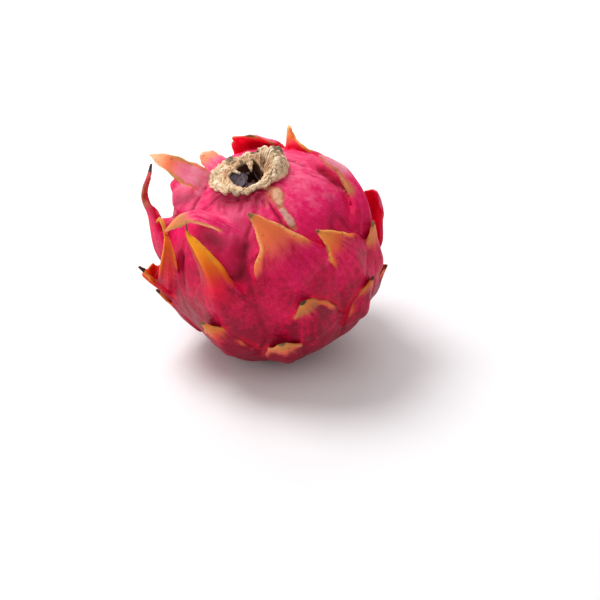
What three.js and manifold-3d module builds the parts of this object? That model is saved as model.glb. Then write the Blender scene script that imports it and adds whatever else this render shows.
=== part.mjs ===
// A whole red dragon fruit (pitaya), as picked: one rind with leafy scales, a corky scar round a
// hollow at the blossom end with the withered flower base in it, and a dimpled stem end. It grew
// as one piece, so it is one solid. Millimetres and degrees, +Z up. The origin is the middle of
// the small flat spot that the fruit rests on. +X is to the right of a viewer who stands at -Y.
// The fruit's own axis runs from its stem end to its blossom end and leans a little. Places on
// the rind are [longitude, latitude, height above the rind], with latitude 90 at the blossom end,
// -90 at the stem end, and longitude -90 towards the viewer.
import * as THREE from "three";
import { mergeVertices } from "three/addons/utils/BufferGeometryUtils.js";
import Module from "manifold-3d";

const wasm = await Module();
wasm.setup();

// ---- Driving dimensions ----
const EQUATOR_RADIUS = 46.5; // rind radius round the middle, between the swellings
const CROWN_HEIGHT = 44.5; // middle to the rind at the blossom end
const STEM_DEPTH = 47; // middle to the rind at the stem end
const SQUARENESS = 2.25; // 2 is an ellipsoid; more gives fuller shoulders
const REST_HEIGHT = 46.4; // middle of the fruit above the surface it rests on
const LEAN_ANGLE = 16; // the axis leans this far from upright
const LEAN_TOWARDS = -141; // compass direction of the lean, from +X towards +Y

const SCAR_RADIUS = 12.9; // middle of the corky ring
const SCAR_HALF_WIDTH = 5;
const SCAR_HALF_HEIGHT = 3.4;
const SCAR_SHIFT = 2.8; // the ring lies a little to the far side of the axis
const HOLLOW_RADIUS = 8.8; // inside the ring
const HOLLOW_DEPTH = 8;
const HOLLOW_SHIFT = -0.2; // and its hollow lies to the near side of the ring
const STEM_RADIUS = 4.4;
const STEM_DIMPLE_RADIUS = 9;
const STEM_DIMPLE_DEPTH = 6;

const ROOT_THICKNESS = 6; // of a scale, where it grows out of the rind
const TIP_THICKNESS = 1.2;
const ROOT_SINK = 5; // its margins dive this far into the rind at its root
const SWELL_HEIGHT = 2.6; // the rind swells below each scale
const SWELL_STEP = 8; // and the swelling runs down towards the stem in three steps

// The scales round the crown, each with its own bearing. A spine point is [longitude, latitude,
// height, half the blade's width], from the root to the tip. `cup` bends the margins in towards
// the fruit, or out where it is negative. `twist` turns the blade about its spine, in degrees at
// the root and at the tip. `tuck` sinks its two margins further into the rind, and `swell` is the
// share of the full swelling under it where it is not 1.
const CROWN_SCALES = {
  left_crown: {
    spine: [
      [160, 58, -4, 7],
      [168.4, 63.5, 1, 5],
      [172.7, 63.8, 5, 5.3],
      [170.8, 61.3, 9, 5.4],
      [168.4, 58.6, 14, 4.6],
      [163.9, 54.3, 19, 3],
      [151, 43.2, 22.6, 0.6],
    ],
    cup: 0.2,
    twist: [0, 0],
  },
  curled_tail: {
    spine: [
      [-172, 6, -4, 12],
      [-175, 20, 2, 11],
      [-179.8, 29.7, 6, 7.5],
      [-178.8, 35.2, 9, 4.4],
      [-179, 37.9, 11.5, 3.4],
      [177.7, 38, 13.5, 2.2],
      [173.1, 38.6, 15.5, 2.3],
      [171.7, 42.3, 17.3, 2.8],
      [169.6, 46.3, 18.6, 2.5],
      [159.8, 46.8, 20, 0.6],
    ],
    cup: 0.35,
    twist: [0, 0],
  },
  folded_crown: {
    spine: [
      [-103.3, 51.1, -4, 4],
      [-112.4, 53.7, 2, 3.4],
      [-124, 55.5, 5, 3.8],
      [-138.4, 54.7, 7, 4.4],
      [-147, 48.8, 9, 3.5],
      [-151.8, 40.9, 10.5, 0.6],
    ],
    cup: 0.1,
    twist: [10, 30],
    tuck: [4, 0],
  },
  left_channel: {
    spine: [
      [-163, -10, -3, 5],
      [-165.9, -1.7, 2, 5],
      [-154, 19.6, 3, 4.4],
      [-152.8, 31, 5, 2.7],
      [-155.7, 36.6, 6.5, 1.1],
      [-160.5, 40.9, 8.5, 1],
      [-166.2, 40.9, 9.3, 0.9],
      [-166.1, 38.8, 10, 0.6],
    ],
    cup: -0.6,
    twist: [50, 65],
  },
  left_low: {
    spine: [
      [-176, -16, -4, 9],
      [-172, -6, 1, 9],
      [-168.5, 5, 6.6, 7],
      [-169.5, 6.6, 8.2, 5.8],
      [-163.3, 13.5, 10.5, 1.6],
      [-163.2, 15.8, 12.2, 1],
      [-164.4, 17.1, 14, 0.6],
    ],
    cup: 0.45,
    twist: [0, 0],
  },
  front_flame: {
    spine: [
      [-112, -4, -4, 17],
      [-115.1, 11.6, 1, 15],
      [-116, 25.2, 4, 7.2],
      [-120.4, 34.2, 6, 5.1],
      [-126, 40.3, 8, 3.3],
      [-131.8, 44.4, 10, 1.3],
      [-132.9, 46.9, 11.5, 0.5],
      [-133.8, 50, 13.5, 0.6],
    ],
    cup: 0.35,
    twist: [0, 0],
  },
  front_peach: {
    spine: [
      [-69, 8, -4, 20],
      [-71, 21, 1, 19],
      [-74, 33, 3.5, 14],
      [-76.5, 43.3, 5.8, 7.2],
      [-82, 51, 9, 3.2],
      [-89, 56, 12, 0.6],
    ],
    cup: 0.2,
    twist: [0, 0],
  },
  front_right: {
    spine: [
      [-33, -10, -4, 14],
      [-34, 5, 1, 13],
      [-39, 18, 3.5, 9.5],
      [-45, 29, 6, 4.5],
      [-52, 38, 9, 0.6],
    ],
    cup: 0.3,
    twist: [0, 0],
  },
  right_hugging: {
    spine: [
      [-12, 2, -4, 12],
      [-13.3, 14.8, 1, 9],
      [-5.8, 23.2, 3, 7],
      [1.6, 30.1, 4, 5.2],
      [7.4, 36.5, 4.5, 3.6],
      [10.2, 42.6, 5, 3.2],
      [11.7, 47.8, 5.5, 2.8],
      [14.4, 52.4, 6, 0.6],
    ],
    cup: 0.15,
    twist: [0, -45],
    tuck: [0, 1.4],
  },
  right_low: {
    spine: [
      [12, -22, -4, 13],
      [12, -8, 1, 13],
      [12, 3, 4, 10.5],
      [10, 12, 6.5, 7],
      [6, 18.5, 8, 3],
      [4, 21, 8.8, 0.6],
    ],
    cup: 0.25,
    twist: [0, 25],
  },
  back_standing: {
    spine: [
      [88, 18, -4, 14],
      [88, 32, 1, 12],
      [87.5, 45, 3.5, 11],
      [87.5, 52, 4.5, 10],
      [88, 56, 5.6, 8.2],
      [88.2, 58.5, 7.2, 0.6],
    ],
    cup: 0.12,
    twist: [0, -18],
  },
  back_left_small: {
    spine: [
      [142, 71, -4, 5.6],
      [139.3, 67.5, 0.6, 5.4],
      [136.6, 63, 3.4, 4.6],
      [133.4, 58.4, 5.4, 3.8],
      [130.8, 54.6, 6.4, 2.5],
      [129.4, 51.6, 7, 0.7],
    ],
    cup: -0.1,
    twist: [0, 0],
  },
  back_right_spike: {
    spine: [
      [50, 14, -4, 9],
      [50, 27, 0.3, 9],
      [57, 33.6, -1, 8.5],
      [60.5, 42.6, 1, 6.6],
      [62.5, 43, 4, 3.4],
      [64, 43, 8, 3.1],
      [61, 47, 9.6, 0.6],
    ],
    cup: -0.1,
    twist: [0, -15],
  },
};

// Ridges of the rind between the scales of the crown: places [longitude, latitude] along each,
// its height and its reach to either side.
const RIDGES = [
  {
    places: [
      [144, 27],
      [149, 34],
      [153, 40.5],
      [156, 44],
    ],
    height: 4,
    reach: 5.4,
  },
  {
    places: [
      [150, 35],
      [153, 41],
      [160, 44],
      [172, 46],
      [179, 45],
      [181, 40],
    ],
    height: 3.9,
    reach: 5,
  },
  {
    places: [
      [173, 17],
      [170.5, 24],
      [169.5, 28.5],
    ],
    height: 4.8,
    reach: 3.2,
  },
];

// The scales from the middle down to the stem end follow the fruit's regular spiral. They shrink
// towards the stem. None grows where the fruit rests or where a scale of the crown has its root.
const SPIRAL_COUNT = 25;
const SPIRAL_TURN = 137.5;
const SPIRAL_START = 62;
const SPIRAL_LOWEST = -66;
const SPIRAL_HIGHEST = 2;
const SPIRAL_LENGTHS = [19, 38]; // of a scale at the stem end and at the middle
const SPIRAL_HALF_WIDTHS = [8, 14];
const SPIRAL_FLARES = [3.5, 7]; // how far its tip stands off the rind
const SPIRAL_SWELLS = [0.3, 1]; // share of the full swelling under it
const REST_CLEARANCE = 12; // lowest root height above the surface the fruit rests on
const CROWN_CLEARANCE = 19; // least distance from the root of a scale of the crown

// ---- Shared shapes ----
const { degToRad, radToDeg, lerp, smoothstep } = THREE.MathUtils;

// Distance from the middle of the fruit to its rind at a latitude, swellings left out.
function rindRadius(latitude) {
  const a = degToRad(latitude);
  const pole = latitude > 0 ? CROWN_HEIGHT : STEM_DEPTH;
  const across = Math.abs(Math.cos(a) / EQUATOR_RADIUS) ** SQUARENESS;
  const along = Math.abs(Math.sin(a) / pole) ** SQUARENESS;
  return (across + along) ** (-1 / SQUARENESS);
}

function place([longitude, latitude, height]) {
  const flat = Math.cos(degToRad(latitude));
  const direction = new THREE.Vector3(
    Math.cos(degToRad(longitude)) * flat,
    Math.sin(degToRad(longitude)) * flat,
    Math.sin(degToRad(latitude)),
  );
  return direction.multiplyScalar(rindRadius(latitude) + height);
}

// A BufferGeometry as a manifold-3d solid.
function solidOf(geometry) {
  const bare = geometry.clone();
  bare.deleteAttribute("normal");
  bare.deleteAttribute("uv");
  const merged = mergeVertices(bare, 1e-4);
  return new wasm.Manifold(
    new wasm.Mesh({
      numProp: 3,
      vertProperties: merged.attributes.position.array,
      triVerts: new Uint32Array(merged.index.array),
    }),
  );
}

function geometryOf(solid) {
  const mesh = solid.getMesh();
  const geometry = new THREE.BufferGeometry();
  geometry.setAttribute("position", new THREE.BufferAttribute(mesh.vertProperties, 3));
  geometry.setIndex(new THREE.BufferAttribute(mesh.triVerts, 1));
  geometry.computeVertexNormals();
  return geometry;
}

// Moves every vertex of a geometry with a function of its position.
function reshape(geometry, move) {
  const position = geometry.attributes.position;
  const point = new THREE.Vector3();
  for (let i = 0; i < position.count; i += 1) {
    const moved = move(point.fromBufferAttribute(position, i));
    position.setXYZ(i, moved.x, moved.y, moved.z);
  }
  return geometry;
}

// ---- How the fruit stands ----
const leanDirection = degToRad(LEAN_TOWARDS);
const leanAxis = new THREE.Vector3(-Math.sin(leanDirection), Math.cos(leanDirection), 0);
const standing = new THREE.Matrix4()
  .makeTranslation(0, 0, REST_HEIGHT)
  .multiply(new THREE.Matrix4().makeRotationAxis(leanAxis, degToRad(LEAN_ANGLE)));

// ---- The scales ----
// One scale of the spiral: up the rind from its root, then away from it.
function spiralScale(index) {
  const rise = index / (SPIRAL_COUNT - 1);
  const longitude = SPIRAL_START + SPIRAL_TURN * index;
  const lowest = Math.sin(degToRad(SPIRAL_LOWEST));
  const highest = Math.sin(degToRad(SPIRAL_HIGHEST));
  const latitude = radToDeg(Math.asin(lerp(lowest, highest, rise)));
  const sway = Math.sin(2.4 * index);
  const length = lerp(...SPIRAL_LENGTHS, rise) * (1 + 0.1 * sway);
  const half = lerp(...SPIRAL_HALF_WIDTHS, rise);
  const flare = lerp(...SPIRAL_FLARES, rise) * (1 + 0.25 * sway);
  const reach = radToDeg(length / EQUATOR_RADIUS);
  const lean = 6 * Math.cos(1.7 * index);
  return {
    spine: [
      [longitude, latitude - 0.5 * reach, -4, half],
      [longitude, latitude - 0.2 * reach, 1.5, half],
      [longitude + 0.3 * lean, latitude + 0.15 * reach, 1.5 + 0.35 * flare, 0.7 * half],
      [longitude + lean, latitude + 0.45 * reach, 1.5 + flare, 0.8],
    ],
    cup: 0.28,
    twist: [0, 0],
    swell: lerp(...SPIRAL_SWELLS, rise),
  };
}

const crownScales = Object.values(CROWN_SCALES);
const crownRoots = crownScales.map((scale) => place(scale.spine[1]));

function hasRoom(scale) {
  const root = place(scale.spine[1]);
  const nearest = Math.min(...crownRoots.map((other) => other.distanceTo(root)));
  return nearest > CROWN_CLEARANCE && root.applyMatrix4(standing).z > REST_CLEARANCE;
}

const spiralScales = Array.from({ length: SPIRAL_COUNT }, (_, i) => spiralScale(i)).filter(hasRoom);
const allScales = [...crownScales, ...spiralScales];

// The frame at each step of a spine: its point, half width, and the ways across and out.
function spineFrames(scale, steps) {
  const curve = new THREE.CatmullRomCurve3(scale.spine.map(place), false, "catmullrom", 0.5);
  const last = scale.spine.length - 1;
  let out = curve.getPoint(0).normalize();
  return Array.from({ length: steps + 1 }, (_, i) => {
    const along = curve.getTangent(i / steps);
    out = out.clone().addScaledVector(along, -out.dot(along)).normalize();
    const turned = out.clone().applyAxisAngle(along, degToRad(lerp(...scale.twist, i / steps)));
    const knot = Math.min(Math.floor((i / steps) * last), last - 1);
    const between = (i / steps) * last - knot;
    return {
      point: curve.getPoint(i / steps),
      half: lerp(scale.spine[knot][3], scale.spine[knot + 1][3], between),
      across: new THREE.Vector3().crossVectors(turned, along),
      out: turned,
    };
  });
}

// A blade is a thin box bent along the spine. It is thickest at the root and along its middle.
function scaleBlade(scale, stepsPerKnot, stepsAcross) {
  const steps = (scale.spine.length - 1) * stepsPerKnot;
  const frames = spineFrames(scale, steps);
  const box = new THREE.BoxGeometry(2, 1, 1, stepsAcross, 1, steps);
  return reshape(box, (p) => {
    const along = p.z + 0.5;
    const frame = frames[Math.round(along * steps)];
    const thickness = lerp(ROOT_THICKNESS, TIP_THICKNESS, along ** 0.6);
    const thinned = thickness * (1 - 0.45 * p.x * p.x);
    const cup = scale.cup * frame.half * smoothstep(along, 0.05, 0.45);
    const tuck = (scale.tuck ?? [0, 0])[p.x < 0 ? 0 : 1] * (1 - smoothstep(along, 0.55, 0.8));
    const sink = ROOT_SINK * (1 - smoothstep(along, 0, 0.3)) + tuck;
    return frame.point
      .clone()
      .addScaledVector(frame.across, frame.half * p.x)
      .addScaledVector(frame.out, thinned * p.y - (cup + sink) * p.x * p.x);
  });
}

// ---- The rind ----
// Where the rind swells, as [middle, reach]: under each scale's root and on down from it.
const swellings = allScales.flatMap((scale) => {
  const [longitude, latitude, , half] = scale.spine[1];
  const drop = radToDeg(SWELL_STEP / EQUATOR_RADIUS);
  return [0, 1, 2].map((step) => ({
    middle: place([longitude, latitude - step * drop, 0]),
    reach: half * (0.75 - 0.12 * step),
    height: SWELL_HEIGHT * (scale.swell ?? 1) * (1 - 0.28 * step),
  }));
});

function swelling(direction) {
  const heights = swellings.map(({ middle, reach, height }) => {
    const away = direction.clone().multiplyScalar(middle.length()).distanceTo(middle);
    return height * Math.exp(-((away / reach) ** 2));
  });
  return Math.min(heights.reduce((sum, h) => sum + h, 0), 1.5 * SWELL_HEIGHT);
}

const ridges = RIDGES.map(({ places, height, reach }) => {
  const points = places.map(([longitude, latitude]) => place([longitude, latitude, 0]));
  const lines = points.slice(1).map((point, i) => new THREE.Line3(points[i], point));
  return { lines, height, reach };
});

// How far the nearest part of a ridge lifts a point of the plain rind. It fades at its ends.
function ridgeHeight({ lines, height, reach }, point) {
  const nearest = { away: Infinity, share: 0 };
  lines.forEach((line, step) => {
    const t = line.closestPointToPointParameter(point, true);
    const away = line.at(t, new THREE.Vector3()).distanceTo(point);
    if (away < nearest.away) {
      nearest.away = away;
      nearest.share = (step + t) / lines.length;
    }
  });
  const fade = smoothstep(nearest.share, 0, 0.25) * smoothstep(1 - nearest.share, 0, 0.25);
  return height * fade * Math.exp(-((nearest.away / reach) ** 2));
}

function rind() {
  const sphere = new THREE.SphereGeometry(1, 44, 30).rotateX(Math.PI / 2);
  return reshape(sphere, (p) => {
    const direction = p.clone().normalize();
    const latitude = radToDeg(Math.asin(direction.z));
    const plain = direction.clone().multiplyScalar(rindRadius(latitude));
    const lift = ridges.reduce((sum, ridge) => sum + ridgeHeight(ridge, plain), 0);
    return plain.addScaledVector(direction, swelling(direction) + lift);
  });
}

// ---- The blossom end and the stem end ----
// The corky ring is uneven: it is highest and widest on the side away from the viewer.
function scarRing() {
  const torus = new THREE.TorusGeometry(2, 1, 10, 26);
  return reshape(torus, (p) => {
    const turn = Math.atan2(p.y, p.x);
    const far = Math.cos(turn - 1);
    const uneven = 1 + 0.07 * Math.cos(2 * turn - 1.2) + 0.03 * Math.sin(5 * turn);
    const outward = (Math.hypot(p.x, p.y) - 2) * SCAR_HALF_WIDTH * (1 + 0.12 * far);
    const radius = (SCAR_RADIUS + outward) * uneven;
    const height = p.z * SCAR_HALF_HEIGHT * (1 + 0.45 * far + 0.12 * Math.sin(4 * turn));
    const base = CROWN_HEIGHT - 1 + 0.8 * far;
    const y = radius * Math.sin(turn) + SCAR_SHIFT;
    return new THREE.Vector3(radius * Math.cos(turn), y, base + height);
  });
}

function hollow() {
  const bowl = new THREE.SphereGeometry(1, 20, 14).rotateX(Math.PI / 2);
  bowl.scale(HOLLOW_RADIUS, HOLLOW_RADIUS, HOLLOW_DEPTH + 3);
  return bowl.translate(0, HOLLOW_SHIFT, CROWN_HEIGHT + 3);
}

// What is left of the flower: a three-lobed lump that grows from the floor of the hollow.
function witheredFlower() {
  const ball = new THREE.SphereGeometry(1, 14, 9).rotateX(Math.PI / 2);
  return reshape(ball, (p) => {
    const lobes = 1 + 0.2 * Math.cos(3 * Math.atan2(p.y, p.x) + 0.7);
    const radius = 0.58 * HOLLOW_RADIUS * lobes;
    const x = p.x * radius - 1.5;
    const y = p.y * radius + HOLLOW_SHIFT - 1;
    return new THREE.Vector3(x, y, CROWN_HEIGHT - HOLLOW_DEPTH + 0.6 + 5 * p.z);
  });
}

function stemDimple() {
  const bowl = new THREE.SphereGeometry(STEM_DIMPLE_RADIUS, 18, 12).rotateX(Math.PI / 2);
  return bowl.scale(1, 1, STEM_DIMPLE_DEPTH / STEM_DIMPLE_RADIUS).translate(0, 0, -STEM_DEPTH);
}

function stemStub() {
  const height = 7;
  const stub = new THREE.CylinderGeometry(STEM_RADIUS * 1.25, STEM_RADIUS, height, 14, 1);
  return stub.rotateX(Math.PI / 2).translate(0, 0, -STEM_DEPTH + STEM_DIMPLE_DEPTH - 1);
}

// ---- Assembly ----
const stood = (geometry) => solidOf(geometry.applyMatrix4(standing));

// Keeps the outermost surface only, so no gap stays sealed between a scale and the rind.
function filled(solid) {
  return solid.decompose().reduce((outer, shell) => (shell.volume() > outer.volume() ? shell : outer));
}

function fruit() {
  let solid = stood(rind()).subtract(stood(stemDimple()));
  for (const scale of crownScales) {
    solid = solid.add(stood(scaleBlade(scale, 2, 4)));
  }
  for (const scale of spiralScales) {
    solid = solid.add(stood(scaleBlade(scale, 2, 2)));
  }
  solid = solid.add(stood(scarRing())).subtract(stood(hollow()));
  solid = solid.add(stood(witheredFlower())).add(stood(stemStub()));
  const surface = new THREE.BoxGeometry(400, 400, 100).translate(0, 0, -50);
  return filled(solid.subtract(solidOf(surface)));
}

const rindFinish = new THREE.MeshStandardMaterial({
  color: 0xd63b72,
  roughness: 0.45,
  metalness: 0,
});
const dragonFruit = new THREE.Mesh(geometryOf(fruit()), rindFinish);
dragonFruit.name = "dragon_fruit";

const group = new THREE.Group();
group.add(dragonFruit);
export default group;
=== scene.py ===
"""A whole red dragon fruit: rind with leafy scales, corky scar, withered flower and cut stem."""

import math
from collections import namedtuple
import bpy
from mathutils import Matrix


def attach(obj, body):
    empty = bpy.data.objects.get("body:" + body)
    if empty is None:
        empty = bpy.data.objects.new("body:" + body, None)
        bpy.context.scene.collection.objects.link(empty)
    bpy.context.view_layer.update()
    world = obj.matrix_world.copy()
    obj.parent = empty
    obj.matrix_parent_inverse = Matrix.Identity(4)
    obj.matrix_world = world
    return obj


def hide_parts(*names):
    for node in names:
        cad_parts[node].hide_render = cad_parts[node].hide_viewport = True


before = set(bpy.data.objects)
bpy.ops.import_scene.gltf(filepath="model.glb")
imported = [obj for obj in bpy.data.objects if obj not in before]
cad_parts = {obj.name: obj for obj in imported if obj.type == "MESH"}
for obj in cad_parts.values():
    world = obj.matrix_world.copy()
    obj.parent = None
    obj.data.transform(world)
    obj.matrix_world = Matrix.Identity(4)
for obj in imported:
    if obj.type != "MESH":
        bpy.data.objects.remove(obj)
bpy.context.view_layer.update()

from types import SimpleNamespace

import bmesh
import bpy
import numpy as np
from bpy.props import FloatProperty, FloatVectorProperty, PointerProperty
from mathutils import Matrix, Vector, noise
from mathutils.kdtree import KDTree

bl_info = {
    "name": "Dragon Fruit",
    "version": (1, 0, 0),
    "blender": (4, 5, 0),
    "location": "3D View > Sidebar > Dragon Fruit",
    "description": "Builds a whole red dragon fruit on a pale studio floor",
    "category": "Add Mesh",
}

MM = 0.001
NODE = "dragon_fruit"
BODY = "root"

# How finely each form is divided, across and along where there are two numbers.
RIND_SUBDIVISIONS = 7
RIND_FACES = 190000
SPINE_STEPS = 80
BLADE_GRID = (18, 72)
NEARBY_GRID = (33, 81)
SCAR_GRID = (400, 180)
FLAKE_GRID = (32, 44)
STEM_GRID = (96, 60)

# ---- Places on the fruit ----
# The fruit's own frame has its middle at the origin and its blossom end up, in millimetres. A
# place on the rind is [longitude, latitude, height above the rind]. Longitude -90 faces the
# viewer, 0 is on the right, and latitude 90 is the blossom end.
LEAN_ANGLE = math.radians(16)
LEAN_TOWARDS = math.radians(-141)
LEAN = Matrix.Rotation(LEAN_ANGLE, 3, Vector((-math.sin(LEAN_TOWARDS), math.cos(LEAN_TOWARDS), 0)))
# Painted shade under the scar's collar is strongest on this side, which faces the viewer.
COLLAR_SHADE_SIDE = math.radians(-100)

# `warm_from` is how far along a scale the pink turns to orange and `glow` how far that goes, up
# to 1. `edge_from` is where its margins turn, `edge_width` how far in they reach as a share of
# its half width, and `edges` how strongly each margin does, dull brown where that is negative.
# `hue` runs from flame orange at 0 to pale peach at 1. `dry_from` is where the tip is withered
# and `dry_dark` how dark it is there. `olive` is how green the scale is, where along it and over
# how much. `inside` is how crimson its inner face is, `outside` its outer one, and `pale` how
# much lighter than the rind it is, only towards the tip where that is negative.
# The lightness that `pale` gives is partly painted light: thin scales lit through from behind are painted
# paler.
Finish = namedtuple(
    "Finish", "warm_from glow edge_from edge_width edges hue dry_from dry_dark olive inside outside pale"
)
# `cup` curls the margins in, `twist` turns the blade from root to tip in degrees, `tuck` sinks
# each margin into the rind, in millimetres, and `swell` is how much the rind swells below it.
Scale = namedtuple("Scale", "spine finish cup twist tuck swell", defaults=((0, 0), (0, 0), 1))

# Spine points are (longitude, latitude, height, half the blade's width), from root to tip.
CROWN_SCALES = {
    "left_crown": Scale([
        (160, 58, -4, 7), (168.4, 63.5, 1, 5), (172.7, 63.8, 5, 5.3), (170.8, 61.3, 9, 5.4),
        (168.4, 58.6, 14, 4.6), (163.9, 54.3, 19, 3), (151, 43.2, 22.6, 0.4),
    ], Finish(0.66, 0.85, 0.3, 0.22, (1, 0.9), 1, 1.1, 0.3, (0.8, 0.68, 0.26), 0, 0, 1.1), cup=0.2),
    "curled_tail": Scale([
        (-172, 6, -4, 12), (-175, 20, 2, 11), (-179.8, 29.7, 6, 7.5), (-178.8, 35.2, 9, 4.4),
        (-179, 37.9, 11.5, 3.4), (177.7, 38, 13.5, 2.2), (173.1, 38.6, 15.5, 2.3),
        (171.7, 42.3, 17.3, 2.8), (169.6, 46.3, 18.6, 2.5), (159.8, 46.8, 20, 0.35),
    ], Finish(0.6, 0.6, 0.46, 0.2, (-1.3, -1.3), 0, 0.92, 1, (0.3, 0.76, 0.34), 0.7, 0.7, 0), cup=0.35),
    "folded_crown": Scale([
        (-103.3, 51.1, -4, 4), (-112.4, 53.7, 2, 3.4), (-124, 55.5, 5, 3.8), (-138.4, 54.7, 7, 4.4),
        (-147, 48.8, 9, 3.5), (-151.8, 40.9, 10.5, 0.5),
    ], Finish(0.74, 0.75, 0.08, 0.14, (0.1, 1), 0.85, 1.1, 0.3, (0.6, 0.92, 0.4), 0.3, 0, 0.4),
        cup=0.1, twist=(10, 30), tuck=(4, 0)),
    "left_channel": Scale([
        (-163, -10, -3, 5), (-165.9, -1.7, 2, 5), (-154, 19.6, 3, 4.4), (-152.8, 31, 5, 2.7),
        (-155.7, 36.6, 6.5, 1.1), (-160.5, 40.9, 8.5, 1), (-166.2, 40.9, 9.3, 0.9),
        (-166.1, 38.8, 10, 0.4),
    ], Finish(0.3, 0.6, 0.3, 0.35, (1, 1), 0.1, 0.99, 0.2, (0.6, 0.85, 0.3), 0.2, 0.6, 0),
        cup=-0.6, twist=(50, 65)),
    "left_low": Scale([
        (-176, -16, -4, 9), (-172, -6, 1, 9), (-168.5, 5, 6.6, 7), (-169.5, 6.6, 8.2, 5.8),
        (-163.3, 13.5, 10.5, 1.6), (-163.2, 15.8, 12.2, 1), (-164.4, 17.1, 14, 0.35),
    ], Finish(0.45, 0.5, 0.35, 0.3, (0.6, 0.6), 0, 0.8, 1, (0.5, 0.7, 0.3), 0.9, 0.2, 0), cup=0.45),
    "front_flame": Scale([
        (-112, -4, -4, 17), (-115.1, 11.6, 1, 15), (-116, 25.2, 4, 7.2), (-120.4, 34.2, 6, 5.1),
        (-126, 40.3, 8, 3.3), (-131.8, 44.4, 10, 1.3), (-132.9, 46.9, 11.5, 0.45),
        (-133.8, 50, 13.5, 0.25),
    ], Finish(0.35, 1, 0.3, 0.3, (0.95, -0.8), 0, 0.86, 0.7, (0.3, 0.5, 0.2), 0.5, 0.8, 0), cup=0.35),
    "front_peach": Scale([
        (-69, 8, -4, 20), (-71, 21, 1, 19), (-74, 33, 3.5, 14), (-76.5, 43.3, 5.8, 7.2),
        (-82, 51, 9, 3.2), (-89, 56, 12, 0.6),
    ], Finish(0.46, 0.62, 0.4, 0.3, (0.95, 0.95), 0.55, 0.93, 0.1, (0.8, 0.96, 0.12), 0.2, 0, 0), cup=0.2),
    "front_right": Scale([
        (-33, -10, -4, 14), (-34, 5, 1, 13), (-39, 18, 3.5, 9.5), (-45, 29, 6, 4.5),
        (-52, 38, 9, 0.5),
    ], Finish(0.66, 0.8, 0.5, 0.25, (1, 1), 0.3, 0.97, 0.4, (0.5, 0.9, 0.2), 0.2, 0, 0), cup=0.3),
    "right_hugging": Scale([
        (-12, 2, -4, 12), (-13.3, 14.8, 1, 9), (-5.8, 23.2, 3, 7), (1.6, 30.1, 4, 5.2),
        (7.4, 36.5, 4.5, 3.6), (10.2, 42.6, 5, 3.2), (11.7, 47.8, 5.5, 2.8), (14.4, 52.4, 6, 0.5),
    ], Finish(0.78, 0.3, 0.45, 0.2, (0.5, 0.9), 1, 1.1, 0.9, (1, 0.5, 0.16), 0.2, 0, -2.2),
        cup=0.15, twist=(0, -45), tuck=(0, 1.4)),
    "right_low": Scale([
        (12, -22, -4, 13), (12, -8, 1, 13), (12, 3, 4, 10.5), (10, 12, 6.5, 7), (6, 18.5, 8, 3),
        (4, 21, 8.8, 0.6),
    ], Finish(1.2, 0, 0.9, 0.1, (0.2, 0.2), 0, 1.1, 0.5, (0, 1, 0.1), 1, 0.75, 0), cup=0.25, twist=(0, 25)),
    "back_standing": Scale([
        (88, 18, -4, 14), (88, 32, 1, 12), (87.5, 45, 3.5, 11), (87.5, 52, 4.5, 10),
        (88, 56, 5.6, 8.2), (88.2, 58.5, 7.2, 0.6),
    ], Finish(1.1, 0.3, 0.6, 0.1, (0.5, 0.5), 0.2, 0.95, 0.3, (0.8, 0.92, 0.12), 1, 0, 0),
        cup=0.12, twist=(0, -18)),
    "back_left_small": Scale([
        (142, 71, -4, 5.6), (139.3, 67.5, 0.6, 5.4), (136.6, 63, 3.4, 4.6), (133.4, 58.4, 5.4, 3.8),
        (130.8, 54.6, 6.4, 2.5), (129.4, 51.6, 7, 0.7),
    ], Finish(0.36, 0.7, 0.6, 0.3, (0.3, 0.6), 1, 1.1, 0.3, (0.1, 0.95, 0.1), 0, 0, 0.5), cup=-0.1),
    "back_right_spike": Scale([
        (50, 14, -4, 9), (50, 27, 0.3, 9), (57, 33.6, -1, 8.5), (60.5, 42.6, 1, 6.6),
        (62.5, 43, 4, 3.4), (64, 43, 8, 3.1), (61, 47, 9.6, 0.6),
    ], Finish(0.64, 1, 0.3, 0.08, (1, 1), 0.4, 1.1, 0.3, (0.1, 0.95, 0.1), 0.8, 0, 0),
        cup=-0.1, twist=(0, -15)),
}

# The other scales follow the fruit's regular spiral and shrink towards the stem.
SPIRAL_COUNT = 25
SPIRAL_TURN = 137.5
SPIRAL_START = 62
SPIRAL_LATITUDES = (-66, 2)
SPIRAL_LENGTHS = (19, 38)
SPIRAL_HALF_WIDTHS = (8, 14)
SPIRAL_FLARES = (3.5, 7)
SPIRAL_SWELLS = (0.3, 1)
# The least distances of their roots from the floor and from the roots of the scales above.
REST_CLEARANCE = 12
CROWN_CLEARANCE = 19
# The rind swells at least this half width below a scale, and meets its neighbour's swelling in a
# valley that starts some degrees above the scale's root and runs some millimetres down.
LEAST_SWELLING = 8
VALLEY_START = 6
VALLEY_LENGTH = 18
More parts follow.
